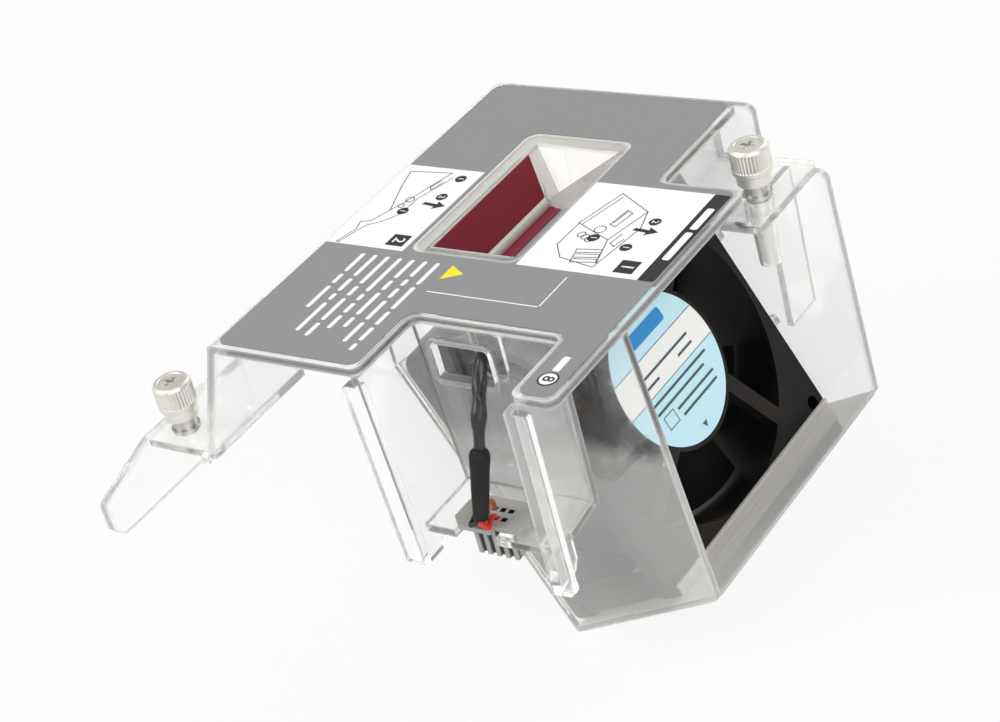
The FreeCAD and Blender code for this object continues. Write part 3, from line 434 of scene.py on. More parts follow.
@dataclass(frozen=True)
class GripFilm(Finish):
    """Dark red film with a fine diagonal weave printed in it."""

    colour: Colour = (0.150, 0.010, 0.020)
    thread: Colour = (0.205, 0.017, 0.032)
    pitch: float = 0.9 * MM
    depth: float = 0.03 * MM
    cloud_scale: float = 140.0
    roughness: float = 0.42
    shine: float = 0.2

    def plan(self, shader: Shader) -> Socket:
        """Lays out the woven film.

        Args:
            shader: the empty node tree.

        Returns:
            The socket to show.
        """
        x, y, _ = shader.axes()
        turns = 2 * math.pi / self.pitch
        weave = ((x + y) * turns).sine() * ((x - y) * turns).sine() * 0.5 + 0.5
        cloud = shader.noise(self.cloud_scale, 3.0)
        share = (weave * 0.6 + cloud * 0.5).clamped()
        return shader.principled(
            Base_Color=shader.blend(share, self.colour, self.thread), Roughness=self.roughness + cloud * 0.12,
            Specular_IOR_Level=self.shine, Normal=shader.bump(weave, self.depth, 0.5))


@dataclass(frozen=True)
class Moulded(Finish):
    """Opaque moulded plastic or rubber with a fine grain and a little dust."""

    colour: Colour
    dust: Colour = (0.10, 0.09, 0.08)
    dust_share: float = 0.15
    roughness: float = 0.4
    grain: float = 2600.0
    dust_scale: float = 55.0
    depth: float = 0.03 * MM
    shine: float = 0.5

    def plan(self, shader: Shader) -> Socket:
        """Lays out the grain and the dust.

        Args:
            shader: the empty node tree.

        Returns:
            The socket to show.
        """
        cloud = shader.noise(self.dust_scale, 4.0)
        grit = shader.noise(self.grain, 2.0)
        share = ((cloud - 0.45) * 3.0).clamped() * grit * self.dust_share
        return shader.principled(
            Base_Color=shader.blend(share, self.colour, self.dust), Roughness=self.roughness + cloud * 0.15,
            Specular_IOR_Level=self.shine, Normal=shader.bump(grit, self.depth, 0.5))


@dataclass(frozen=True)
class Metal(Finish):
    """Bare or plated metal, with turning marks or a drawn grain."""

    colour: Colour
    roughness: float = 0.3
    stretch: Place = (1.0, 1.0, 12.0)
    grain_scale: float = 700.0
    stain_scale: float = 240.0
    depth: float = 0.02 * MM
    wear: float = 0.12

    def plan(self, shader: Shader) -> Socket:
        """Lays out the grain and the stains.

        Args:
            shader: the empty node tree.

        Returns:
            The socket to show.
        """
        grain = shader.noise(self.grain_scale, 3.0, self.stretch)
        stain = shader.noise(self.stain_scale, 4.0)
        dull = tuple(part * (1 - self.wear * 2) for part in self.colour)
        return shader.principled(
            Base_Color=shader.blend(stain, dull, self.colour), Metallic=1.0,
            Roughness=self.roughness + grain * 0.12 + stain * 0.06,
            Normal=shader.bump(grain, self.depth, 0.5))


@dataclass(frozen=True)
class Sleeving(Finish):
    """Thin black shrunk sleeve, satin and creased along its length."""

    colour: Colour = (0.012, 0.011, 0.010)
    worn: Colour = (0.03, 0.027, 0.024)
    stretch: Place = (1.0, 1.0, 0.3)
    crease_scale: float = 420.0
    wear_scale: float = 150.0
    depth: float = 0.6 * MM
    roughness: float = 0.26

    def plan(self, shader: Shader) -> Socket:
        """Lays out the creases and the wear.

        Args:
            shader: the empty node tree.

        Returns:
            The socket to show.
        """
        creases = shader.noise(self.crease_scale, 4.0, self.stretch)
        wear = ((shader.noise(self.wear_scale, 3.0, self.stretch) - 0.45) * 3.0).clamped()
        return shader.principled(
            Base_Color=shader.blend(wear, self.colour, self.worn), Roughness=self.roughness + wear * 0.22,
            Normal=shader.bump(creases, self.depth, 0.8))


@dataclass(frozen=True)
class PlugPlastic(Finish):
    """Gray moulded plastic with painted shade down its cavities and between its ribs."""

    colour: Colour = (0.34, 0.335, 0.315)
    # shadow and gap: painted shade down the cavities and between the ribs
    shadow: Colour = (0.012, 0.012, 0.012)
    gap: Colour = (0.07, 0.07, 0.068)
    top: float = -10.62 * MM
    across: Point = (95.3 * MM, 104.95 * MM)
    deep: Point = (1.3 * MM, 6.8 * MM)
    rib_root: float = 0.3 * MM
    rib_height: float = 1.0 * MM
    flange_under: float = -12.2 * MM
    slack: float = 0.2 * MM
    grain: float = 1800.0
    depth: float = 0.03 * MM
    roughness: float = 0.42

    def plan(self, shader: Shader) -> Socket:
        """Lays out the cavities and the gaps of the ribs.

        Args:
            shader: the empty node tree.

        Returns:
            The socket to show.
        """
        x, y, z = shader.axes()
        # painted shade: dark down the cavities, and a ramp of painted shade in the gaps between the ribs
        below = 1.0 - z.above(self.top)
        cavity_shade = x.between(*self.across) * y.between(*self.deep) * below
        root = ((y - (self.rib_root - self.rib_height)) / self.rib_height).clamped()
        ribs = root * (1.0 - y.above(self.rib_root + self.slack)) * (1.0 - z.above(self.flange_under))
        grit = shader.noise(self.grain, 2.0)
        light = tuple(part * 1.08 for part in self.colour)
        plain = shader.blend(grit, self.colour, light)
        rib_shaded = shader.mix(ribs, plain, self.gap)
        return shader.principled(
            Base_Color=shader.mix(cavity_shade, rib_shaded, self.shadow), Roughness=self.roughness + grit * 0.1,
            Normal=shader.bump(grit, self.depth, 0.5))


@dataclass(frozen=True)
class Wound(Finish):
    """Enamelled copper wire, wound in close turns."""

    colour: Colour = (0.52, 0.17, 0.05)
    pitch: float = 0.5 * MM
    slant: float = 0.4
    depth: float = 0.1 * MM
    metal: float = 0.7
    roughness: float = 0.35

    def plan(self, shader: Shader) -> Socket:
        """Lays out the turns of wire, with painted shade between them.

        Args:
            shader: the empty node tree.

        Returns:
            The socket to show.
        """
        x, _, z = shader.axes()
        turns = 2 * math.pi / self.pitch
        wires = ((x + z * self.slant) * turns).sine() * 0.5 + 0.5
        # painted shade: the colour drops to 40 percent in the grooves between the turns
        dark = tuple(part * 0.4 for part in self.colour)
        return shader.principled(
            Base_Color=shader.blend(wires, dark, self.colour), Metallic=self.metal,
            Roughness=self.roughness + wires * 0.1, Normal=shader.bump(wires, self.depth, 0.8))


class Stock(Enum):
    """Every finish on the module."""

    CLEAR = ClearSheet()
    CLEAR_TRAY = ClearSheet(tint=(0.70, 0.685, 0.655), clearness=0.7)
    CLEAR_POCKET = ClearSheet(clearness=0.93, wave=0.3 * MM, edge_reach=0.9 * MM, edge_share=0.3)
    # the near panel carries a painted reflection over its lower part
    CLEAR_NEAR = ClearSheet(clearness=0.98, shine=0.15, veil_share=0.15)
    CLEAR_FLOOR = ClearSheet(tint=(0.58, 0.565, 0.55), clearness=0.5, edge_share=0.25)
    OVERLAY = Film((0.262, 0.265, 0.262))
    PRINT_WHITE = Film((0.90, 0.91, 0.90), mottle=0.02)
    PRINT_DARK = Film((0.035, 0.035, 0.037), mottle=0.1, shine=0.12)
    PRINT_LINE = Film((0.10, 0.10, 0.105), mottle=0.1)
    PRINT_YELLOW = Film((0.84, 0.79, 0.03), mottle=0.03)
    LABEL_BLUE = Film((0.56, 0.83, 0.91), roughness=0.3, mottle=0.02)
    LABEL_WHITE = Film((0.90, 0.90, 0.87), roughness=0.3, mottle=0.02)
    LABEL_INK = Film((0.07, 0.10, 0.12), roughness=0.35, mottle=0.1)
    LABEL_CYAN = Film((0.03, 0.27, 0.62), roughness=0.3, mottle=0.05)
    GRIP = GripFilm()
    FAN_BLACK = Moulded((0.004, 0.0036, 0.0032), dust=(0.12, 0.085, 0.06), dust_share=0.3, shine=0.2)
    BLADE_BLACK = Moulded((0.0025, 0.0025, 0.0025), dust_share=0.08, roughness=0.45, shine=0.1)
    PLUG_GRAY = PlugPlastic()
    SHRINK = Moulded((0.013, 0.012, 0.011), roughness=0.5, grain=900.0, depth=0.12 * MM, shine=0.2)
    SLEEVE = Sleeving()
    RED = Moulded((0.55, 0.012, 0.012), dust_share=0.05, roughness=0.35)
    BLACK = Moulded((0.015, 0.015, 0.015), dust_share=0.1, roughness=0.35)
    ORANGE = Moulded((0.70, 0.20, 0.03), dust_share=0.05, roughness=0.35)
    BROWN = Moulded((0.36, 0.11, 0.03), dust_share=0.05, roughness=0.35)
    NICKEL = Metal((0.90, 0.88, 0.81), roughness=0.36)
    # painted shade for the valleys of the knurls
    NICKEL_WORN = Metal((0.42, 0.40, 0.33), roughness=0.45)
    STEEL = Metal((0.62, 0.61, 0.58), roughness=0.24)
    SPRING = Metal((0.50, 0.50, 0.48), roughness=0.28)
    BRASS = Metal((0.78, 0.56, 0.24), roughness=0.26)
    TIN = Metal((0.72, 0.70, 0.64), roughness=0.3)
    IRON = Metal((0.33, 0.32, 0.31), roughness=0.4, stretch=(1.0, 1.0, 40.0))
    FERRITE = Moulded((0.03, 0.03, 0.031), roughness=0.55)
    COPPER = Wound()
    BOARD = Moulded((0.012, 0.10, 0.035), dust_share=0.1, roughness=0.3)


class Paintbox:
    """Makes each material once and gives it to pieces."""

    def __init__(self) -> None:
        """Starts with no materials made."""
        self._made: dict[Stock, bpy.types.Material] = {}

    def material(self, stock: Stock) -> bpy.types.Material:
        """Returns the material of a finish, made on first use."""
        if stock not in self._made:
            finish: Finish = stock.value
            self._made[stock] = finish.make(stock.name.lower())
        return self._made[stock]

    def dress(self, piece: bpy.types.Object, stock: Stock) -> None:
        """Gives a piece one finish all over."""
        piece.data.materials.clear()
        piece.data.materials.append(self.material(stock))


# Construction nodes

STOCK_NODES: dict[Stock, tuple[str, ...]] = {
    Stock.CLEAR: ("top_cover", "left_bracket", "right_bracket", "duct_far_panel"),
    Stock.CLEAR_POCKET: ("pocket_side_left", "pocket_side_right", "connector_shelf", "window_panel"),
    Stock.CLEAR_NEAR: ("duct_near_panel",),
    Stock.CLEAR_TRAY: ("grip_tray",),
    Stock.CLEAR_FLOOR: ("duct_floor",),
    Stock.OVERLAY: ("cover_overlay",),
    Stock.GRIP: ("grip_pad_left", "grip_pad_right"),
    Stock.PLUG_GRAY: ("connector_housing",),
    Stock.TIN: ("connector_contacts",),
    Stock.SLEEVE: ("cable_sleeve",),
    Stock.SHRINK: ("heat_shrink_boot",),
    Stock.RED: ("wire_red",),
    Stock.BLACK: ("wire_black",),
    Stock.ORANGE: ("wire_orange",),
    Stock.BROWN: ("wire_brown",),
    Stock.FAN_BLACK: ("fan_frame", "motor_base"),
    Stock.BLADE_BLACK: ("impeller",),
    Stock.LABEL_BLUE: ("hub_label",),
    Stock.STEEL: ("rotor_yoke", "rotor_shaft", "lower_bearing", "upper_bearing",
                  "left_ferrule", "right_ferrule"),
    Stock.NICKEL: ("left_knob", "left_stud", "right_knob", "right_stud"),
    Stock.SPRING: ("shaft_clip", "preload_spring", "left_spring", "right_spring"),
    Stock.BRASS: ("bearing_tube",),
    Stock.FERRITE: ("rotor_magnet",),
    Stock.IRON: ("stator_core",),
    Stock.COPPER: ("stator_windings",),
    Stock.BOARD: ("motor_board",),
}
NODE_FINISH = {node: stock for stock, nodes in STOCK_NODES.items() for node in nodes}


# Ways to make pieces


def link(name: str, data: bpy.types.ID) -> bpy.types.Object:
    """Puts new data into the scene.

    Args:
        name: the object's name.
        data: its mesh, curve, lamp or camera.

    Returns:
        The new object, at the origin.
    """
    made = bpy.data.objects.new(name, data)
    bpy.context.scene.collection.objects.link(made)
    return made


def to_mesh(name: str, bm: bmesh.types.BMesh) -> bpy.types.Mesh:
    """Turns a bmesh into a mesh.

    Args:
        name: the mesh's name.
        bm: its shape, which is freed.

    Returns:
        The new mesh.
    """
    mesh = bpy.data.meshes.new(name)
    bm.to_mesh(mesh)
    bm.free()
    return mesh


def add_curve(bm: bmesh.types.BMesh, curve: bpy.types.Curve) -> None:
    """Adds the surface of a line or of digits to a bmesh, and removes the curve.

    Args:
        bm: the bmesh to add to.
        curve: the line, or the digits.
    """
    holder = link(curve.name, curve)
    mesh = bpy.data.meshes.new_from_object(holder)
    bm.from_mesh(mesh)
    bpy.data.objects.remove(holder)
    bpy.data.curves.remove(curve)
    bpy.data.meshes.remove(mesh)


def spun(profile: Sequence[Point], steps: int, closed: bool) -> bmesh.types.BMesh:
    """Spins a profile all the way round the Z axis.

    Args:
        profile: the radius and the height of each of its points, in millimetres.
        steps: the number of sides.
        closed: whether its last point joins its first.

    Returns:
        A new bmesh.
    """
    bm = bmesh.new()
    verts = [bm.verts.new((radius, 0.0, height)) for radius, height in profile]
    ends = verts[1:] + verts[:1] if closed else verts[1:]
    edges = [bm.edges.new(pair) for pair in zip(verts, ends)]
    bmesh.ops.spin(bm, geom=verts + edges, cent=(0, 0, 0), axis=(0, 0, 1), dvec=(0, 0, 0),
                   angle=2 * math.pi, steps=steps, use_merge=True, use_duplicate=False)
    bmesh.ops.remove_doubles(bm, verts=bm.verts, dist=0.001)
    bmesh.ops.recalc_face_normals(bm, faces=bm.faces)
    return bm


def add_piece(name: str, bm: bmesh.types.BMesh, place: Matrix, body: str, paint: Paintbox,
              stock: Stock) -> bpy.types.Object:
    """Turns a bmesh into a piece of the module.

    Args:
        name: the piece's name.
        bm: its shape, which is freed.
        place: the matrix from the shape's own space to the module's metres.
        body: the body that it rides on.
        paint: where the material comes from.
        stock: its finish.

    Returns:
        The new object, at the origin and with its place in its mesh.
    """
    bm.transform(place)
    piece = link(name, to_mesh(name, bm))
    paint.dress(piece, stock)
    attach(piece, body)
    log.info("%s: %d faces on %s", name, len(piece.data.polygons), body)
    return piece


# Printed films


class FlatArt:
    """Thin printed shapes of one ink on a plane, gathered into one mesh."""

    def __init__(self, name: str, place: Matrix, thickness: float) -> None:
        """Starts an empty print.

        Args:
            name: the piece's name.
            place: the matrix from the art's millimetres to the module's metres.
            thickness: the ink's thickness in millimetres.
        """
        self.name = name
        self.place = place
        self.thickness = thickness
        self.bm = bmesh.new()

    def _moved(self, geometry: list, centre: Point, turn: float, size: Point, level: float) -> None:
        """Puts new vertices in their place on the film.

        Args:
            geometry: the vertices.
            centre: where their middle goes.
            turn: their angle, in radians.
            size: factors along and across them.
            level: the height of the film under them.
        """
        move = (Matrix.Translation((*centre, level)) @ Matrix.Rotation(turn, 4, "Z")
                @ Matrix.Diagonal((*size, 1.0, 1.0)))
        bmesh.ops.transform(self.bm, matrix=move, verts=geometry)

    def rectangle(self, low: Point, high: Point, level: float, corner: float = 0.0) -> None:
        """Adds an upright rectangle.

        Args:
            low: its lower left corner.
            high: its upper right corner.
            level: its height on the film.
            corner: the radius of its corners, where they are round.
        """
        centre = ((low[0] + high[0]) / 2, (low[1] + high[1]) / 2)
        made = bmesh.ops.create_grid(self.bm, x_segments=1, y_segments=1, size=0.5)["verts"]
        self._moved(made, centre, 0.0, (high[0] - low[0], high[1] - low[1]), level)
        if corner:
            bmesh.ops.bevel(self.bm, geom=made, offset=corner, offset_type="OFFSET", segments=5,
                            profile=0.5, affect="VERTICES", material=-1)

    def disc(self, centre: Point, radius: float, level: float, steps: int = 36) -> None:
        """Adds a disc, or a regular polygon where steps is small."""
        made = bmesh.ops.create_circle(self.bm, cap_ends=True, segments=steps, radius=radius)["verts"]
        self._moved(made, centre, 0.0, (1.0, 1.0), level)

    def polygon(self, corners: Sequence[Point], level: float) -> None:
        """Adds a flat shape with the given corners."""
        verts = [self.bm.verts.new((*corner, level)) for corner in corners]
        self.bm.faces.new(verts)

    def stroke(self, points: Sequence[Point], width: float, level: float) -> None:
        """Adds a line of constant width.

        Args:
            points: what it runs through.
            width: its width.
            level: its height on the film.
        """
        for start, end in zip(points, points[1:]):
            run = Vector(end) - Vector(start)
            middle = (Vector(end) + Vector(start)) / 2
            made = bmesh.ops.create_grid(self.bm, x_segments=1, y_segments=1, size=0.5)["verts"]
            self._moved(made, tuple(middle), math.atan2(run.y, run.x), (run.length + width, width), level)

    def numeral(self, digits: str, centre: Point, height: float, turn: float, level: float) -> None:
        """Adds plain digits.

        Args:
            digits: what to print.
            centre: the middle of the digits.
            height: the height of a digit.
            turn: their angle, in radians.
            level: their height on the film.
        """
        curve = bpy.data.curves.new("numeral", "FONT")
        curve.body = digits
        curve.size = height / 0.7
        curve.align_x = "CENTER"
        curve.align_y = "CENTER"
        curve.offset = height * 0.02
        curve.resolution_u = 4
        before = set(self.bm.verts)
        add_curve(self.bm, curve)
        added = [vert for vert in self.bm.verts if vert not in before]
        bmesh.ops.remove_doubles(self.bm, verts=added, dist=0.0001)
        added = [vert for vert in self.bm.verts if vert not in before]
        self._moved(added, centre, turn, (1.0, 1.0), level)

    def cut(self, point: Point, outwards: Point) -> None:
        """Cuts away what lies beyond a line, on the side that outwards points to."""
        geometry = self.bm.verts[:] + self.bm.edges[:] + self.bm.faces[:]
        bmesh.ops.bisect_plane(self.bm, geom=geometry, plane_co=(*point, 0.0), plane_no=(*outwards, 0.0),
                               clear_outer=True)

    def finish(self, paint: Paintbox, stock: Stock) -> None:
        """Gives the ink its thickness and puts it on the module.

        Args:
            paint: where the material comes from.
            stock: the ink's finish.
        """
        bmesh.ops.recalc_face_normals(self.bm, faces=self.bm.faces)
        for face in self.bm.faces:
            if face.normal.z < 0:
                face.normal_flip()
        raised = bmesh.ops.extrude_face_region(self.bm, geom=self.bm.faces[:], use_keep_orig=True)
        tops = [part for part in raised["geom"] if isinstance(part, bmesh.types.BMVert)]
        bmesh.ops.translate(self.bm, verts=tops, vec=(0.0, 0.0, self.thickness))
        bmesh.ops.recalc_face_normals(self.bm, faces=self.bm.faces)
        add_piece(self.name, self.bm, self.place, "module", paint, stock)


@dataclass
class FilmPrint:
    """The prints on one film of the module, with the sizes of the art in millimetres."""

    paint: Paintbox
    ink: float = field(default=0.03, kw_only=True)
    gap: float = field(default=0.01, kw_only=True)
    place: Matrix = field(default_factory=Matrix, init=False)

    def _art(self, name: str) -> FlatArt:
        """Returns an empty print on the film."""
        return FlatArt(name, self.place, self.ink)


@dataclass
class CoverPrint(FilmPrint):
    """The printed panels on the cover's gray film."""

    cover_width: float = 111.0
    film: float = 0.25
    line: float = 0.28
    panel_one: tuple[Point, Point] = ((66.5, 53.5), (104.1, 96.25))
    panel_two: tuple[Point, Point] = ((2.75, 52.75), (29.4, 95.25))
    band_right: float = 109.0
    leader: tuple[Point, ...] = ((84.4, 50.6), (84.4, 36.5), (49.0, 36.5))
    tab_mark: Point = (104.7, 8.5)
    marker_radius: float = 1.75
    markers: tuple[tuple[str, Point], ...] = (
        ("2", (94.4, 80.25)), ("1", (81.25, 69.75)), ("1", (92.9, 67.1)),
        ("1", (24.0, 90.6)), ("2", (24.0, 80.6)), ("1", (16.5, 71.6)))
    arrow_tips: tuple[Point, ...] = ((98.0, 75.6), (28.0, 76.3))
    caution: tuple[Point, ...] = ((54.4, 46.0), (48.75, 49.4), (48.75, 42.5))
    words: tuple[tuple[int, ...], ...] = (
        (7, 7, 4, 4, 2), (5, 2, 3, 6, 6), (6, 3, 7, 3), (11, 2, 3, 4), (9, 3, 7, 4), (7, 4, 2, 9), (6, 3, 7))
    words_from: Point = (44.0, 49.4)
    words_end: float = 18.6
    letter: float = 1.5
    letter_height: float = 1.35
    reading: float = -math.pi / 2

    def __post_init__(self) -> None:
        """Works out the cover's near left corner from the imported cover."""
        low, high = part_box("top_cover")
        corner = Vector((high.x - self.cover_width * MM, low.y, high.z))
        self.place = Matrix.Translation(corner) @ Matrix.Scale(MM, 4)

    def level(self, layer: int) -> float:
        """Returns the height of the underside of a layer of ink, counted from 0."""
        return self.film + self.gap + layer * (self.ink + self.gap)

    def build(self) -> None:
        """Makes every print on the cover."""
        self._white()
        self._dark()
        self._lines()
        self._yellow()

    def _white(self) -> None:
        """Prints the white panels, reversed numerals, leader line, words and the tab's disc."""
        art = self._art("print_white")
        art.rectangle(*self.panel_one, self.level(0))
        art.rectangle(*self.panel_two, self.level(0))
        art.stroke(self.leader, 0.4, self.level(0))
        art.disc(self.tab_mark, 2.35, self.level(1))
        art.numeral("1", (98.3, 58.5), 3.6, self.reading, self.level(2))
        art.numeral("2", (24.8, 57.5), 3.6, self.reading, self.level(2))
        for digits, centre in self.markers:
            art.numeral(digits, centre, 1.9, self.reading, self.level(2))
        self._words(art)
        self._title(art)
        art.finish(self.paint, Stock.PRINT_WHITE)

    def _words(self, art: FlatArt) -> None:
        """Adds lines of plain bars in the place of a paragraph, each as long as a word.

        Args:
            art: the print to add them to.
        """
        first, start = self.words_from
        for number, line in enumerate(self.words):
            x = first + (self.words_end - first) * number / (len(self.words) - 1)
            y = start
            for letters in line:
                length = letters * self.letter
                low, high = (x - self.letter_height / 2, y - length), (x + self.letter_height / 2, y)
                art.rectangle(low, high, self.level(0), 0.5)
                y -= length + self.letter

    def _title(self, art: FlatArt) -> None:
        """Adds two bars in the dark band and one on the tab.

        Args:
            art: the print to add them to.
        """
        for start, length in ((89.3, 10.6), (77.2, 13.6)):
            art.rectangle((105.6, start - length), (107.9, start), self.level(1), 0.7)
        art.rectangle((103.6, 11.9), (105.7, 18.2), self.level(0), 0.6)

    def _dark(self) -> None:
        """Prints the dark band, the numbered squares, the round markers and the arrows."""
        art = self._art("print_dark")
        low, high = self.panel_one
        art.rectangle((high[0], low[1]), (self.band_right, high[1]), self.level(0), 0.8)
        art.rectangle((95.4, 55.6), (101.2, 61.5), self.level(1))
        art.rectangle((21.9, 54.75), (27.75, 60.25), self.level(1))
        for _, centre in self.markers:
            art.disc(centre, self.marker_radius, self.level(1))
        for tip in self.arrow_tips:
            self._arrow(art, tip)
        art.disc(self.tab_mark, 2.85, self.level(0))
        art.numeral("8", self.tab_mark, 3.2, self.reading, self.level(2))
        art.finish(self.paint, Stock.PRINT_DARK)

    def _arrow(self, art: FlatArt, tip: Point) -> None:
        """Adds a solid arrow that points across the cover to the right.

        Args:
            art: the print to add it to.
            tip: where it points.
        """
        x, y = tip
        outline = [(0.0, 0.0), (-3.4, 1.9), (-3.0, 0.5), (-7.4, 0.9), (-7.9, -0.3), (-3.4, -0.8),
                   (-3.6, -2.1)]
        art.polygon([(x + along, y + across) for along, across in outline], self.level(1))

    def _lines(self) -> None:
        """Prints two line drawings: an open case seen from above, and a lid lifted at one end."""
        art = self._art("print_lines")
        for run in self._case_drawing() + self._lid_drawing():
            art.stroke(run, self.line, self.level(1))
        art.finish(self.paint, Stock.PRINT_LINE)

    @staticmethod
    def _ring(centre: Point, radius: float) -> list[Point]:
        """Returns a closed line round a circle."""
        turns = [math.radians(36 * step) for step in range(11)]
        return [(centre[0] + radius * math.cos(turn), centre[1] + radius * math.sin(turn)) for turn in turns]

    @staticmethod
    def _shifted(run: Sequence[Point], by: Point) -> list[Point]:
        """Returns a line moved by an offset."""
        return [(x + by[0], y + by[1]) for x, y in run]

    def _case_drawing(self) -> list[list[Point]]:
        """Returns the lines of the first drawing: a case with a slotted lid and an open front bay."""
        body = [(73.2, 76.4), (72.7, 64.8), (77.0, 59.2), (88.8, 56.5), (92.0, 76.6), (89.7, 84.6)]
        lid = [(77.5, 92.0), (89.7, 84.6), (85.8, 69.5), (73.0, 75.8), (77.5, 92.0)]
        fold = [(78.6, 90.2), (74.4, 75.6)]
        slot = [(82.3, 76.8), (83.6, 84.2), (85.8, 83.0), (84.4, 75.9), (82.3, 76.8)]
        rib = [(79.6, 63.8), (87.0, 64.8), (87.4, 63.4), (80.0, 62.2), (79.6, 63.8)]
        clip = [(88.4, 73.0), (87.4, 68.2), (89.2, 66.8), (90.2, 70.6)]
        runs = [body, lid, fold, slot, clip, [(82.9, 77.6), (84.0, 83.6)], [(85.8, 69.5), (88.8, 58.4)]]
        runs += [self._shifted(rib, (0.5 * step, -2.3 * step)) for step in range(3)]
        runs += [self._ring((77.0 + 1.7 * step, 70.6 - 0.9 * step), 1.2) for step in range(3)]
        return runs + [self._ring((80.9, 73.9), 1.7)]

    def _lid_drawing(self) -> list[list[Point]]:
        """Returns the lines of the second drawing."""
        lid = [(12.2, 71.3), (8.2, 82.4), (7.6, 84.0), (5.5, 91.8), (19.4, 93.1), (17.6, 87.5), (14.2, 76.0),
               (12.2, 71.3)]
        rail = [(21.1, 90.6), (19.2, 84.4), (16.9, 78.4), (17.0, 74.8), (16.2, 69.4), (13.6, 65.5),
                (10.2, 63.0), (9.0, 60.4), (6.7, 53.2), (5.9, 53.6), (7.9, 60.4), (6.8, 64.2), (9.9, 65.2),
                (12.2, 71.3)]
        block = [(18.4, 88.6), (17.2, 84.8), (18.2, 83.6), (19.6, 87.8)]
        return [lid, rail, block, self._ring((15.0, 77.6), 1.3), self._ring((14.3, 74.0), 0.9)]

    def _yellow(self) -> None:
        """Prints the plain caution triangle."""
        art = self._art("print_triangle")
        art.polygon(self.caution, self.level(0))
        art.finish(self.paint, Stock.PRINT_YELLOW)


@dataclass
class HubPrint(FilmPrint):
    """The plain bands and marks on the fan's round label."""

    spin: dict[str, Any]
    label: bpy.types.Object
    radius: float = 22.2
    band: Point = (-8.2, 2.1)
    rules: tuple[tuple[float, float, float], ...] = (
        (-3.4, -12.0, 13.0), (-0.6, -12.0, -5.5), (-0.6, 6.0, 13.0), (4.2, -13.5, 15.5),
        (6.8, -13.5, 12.0), (9.9, -5.5, 14.0), (12.4, -4.8, 13.5))
    frame: tuple[Point, Point] = ((8.6, -12.6), (12.4, -7.6))
    pointer: tuple[Point, ...] = ((20.1, 0.0), (18.3, 1.1), (18.3, -1.1))
    mark: tuple[Point, Point] = ((-15.4, -8.0), (-11.2, 9.5))
    face: float = field(default=0.0, init=False)

    def __post_init__(self) -> None:
        """Works out the label's plane from the fan's axis: x runs down the label and y across it."""
        out = Vector(self.spin["axis"]).normalized()
        across = Vector((0.0, 1.0, 0.0))
        down = across.cross(out).normalized()
        centre = Vector(self.spin["pos_m"])
        turn = Matrix((down, across, out)).transposed().to_4x4()
        self.place = Matrix.Translation(centre) @ turn @ Matrix.Scale(MM, 4)
        self.face = max((vert.co - centre).dot(out) for vert in self.label.data.vertices) / MM

    def chord(self, x: float, inset: float = 0.0) -> float:
        """Returns half the label's width at a distance down from its centre."""
        return math.sqrt((self.radius - inset) ** 2 - x * x)

    def build(self) -> None:
        """Makes the prints of the label."""
        first = self.face + self.gap
        second = first + self.ink + self.gap
        white = self._art("label_band")
        white.disc((0.0, 0.0), self.radius - 0.05, first, 96)
        white.cut((self.band[0], 0.0), (-1.0, 0.0))
        white.cut((self.band[1], 0.0), (1.0, 0.0))
        white.finish(self.paint, Stock.LABEL_WHITE)
        ink = self._art("label_ink")
        for x in self.band:
            half = self.chord(x, 0.4)
            ink.stroke([(x, -half), (x, half)], 0.22, second)
        for x, start, end in self.rules:
            ink.stroke([(x, start), (x, end)], 0.75, second)
        low, high = self.frame
        ink.stroke([low, (high[0], low[1]), high, (low[0], high[1]), low], 0.25, second)
        ink.polygon(self.pointer, second)
        ink.finish(self.paint, Stock.LABEL_INK)
        mark = self._art("label_mark")
        mark.rectangle(*self.mark, second, 1.0)
        mark.finish(self.paint, Stock.LABEL_CYAN)


# Lead


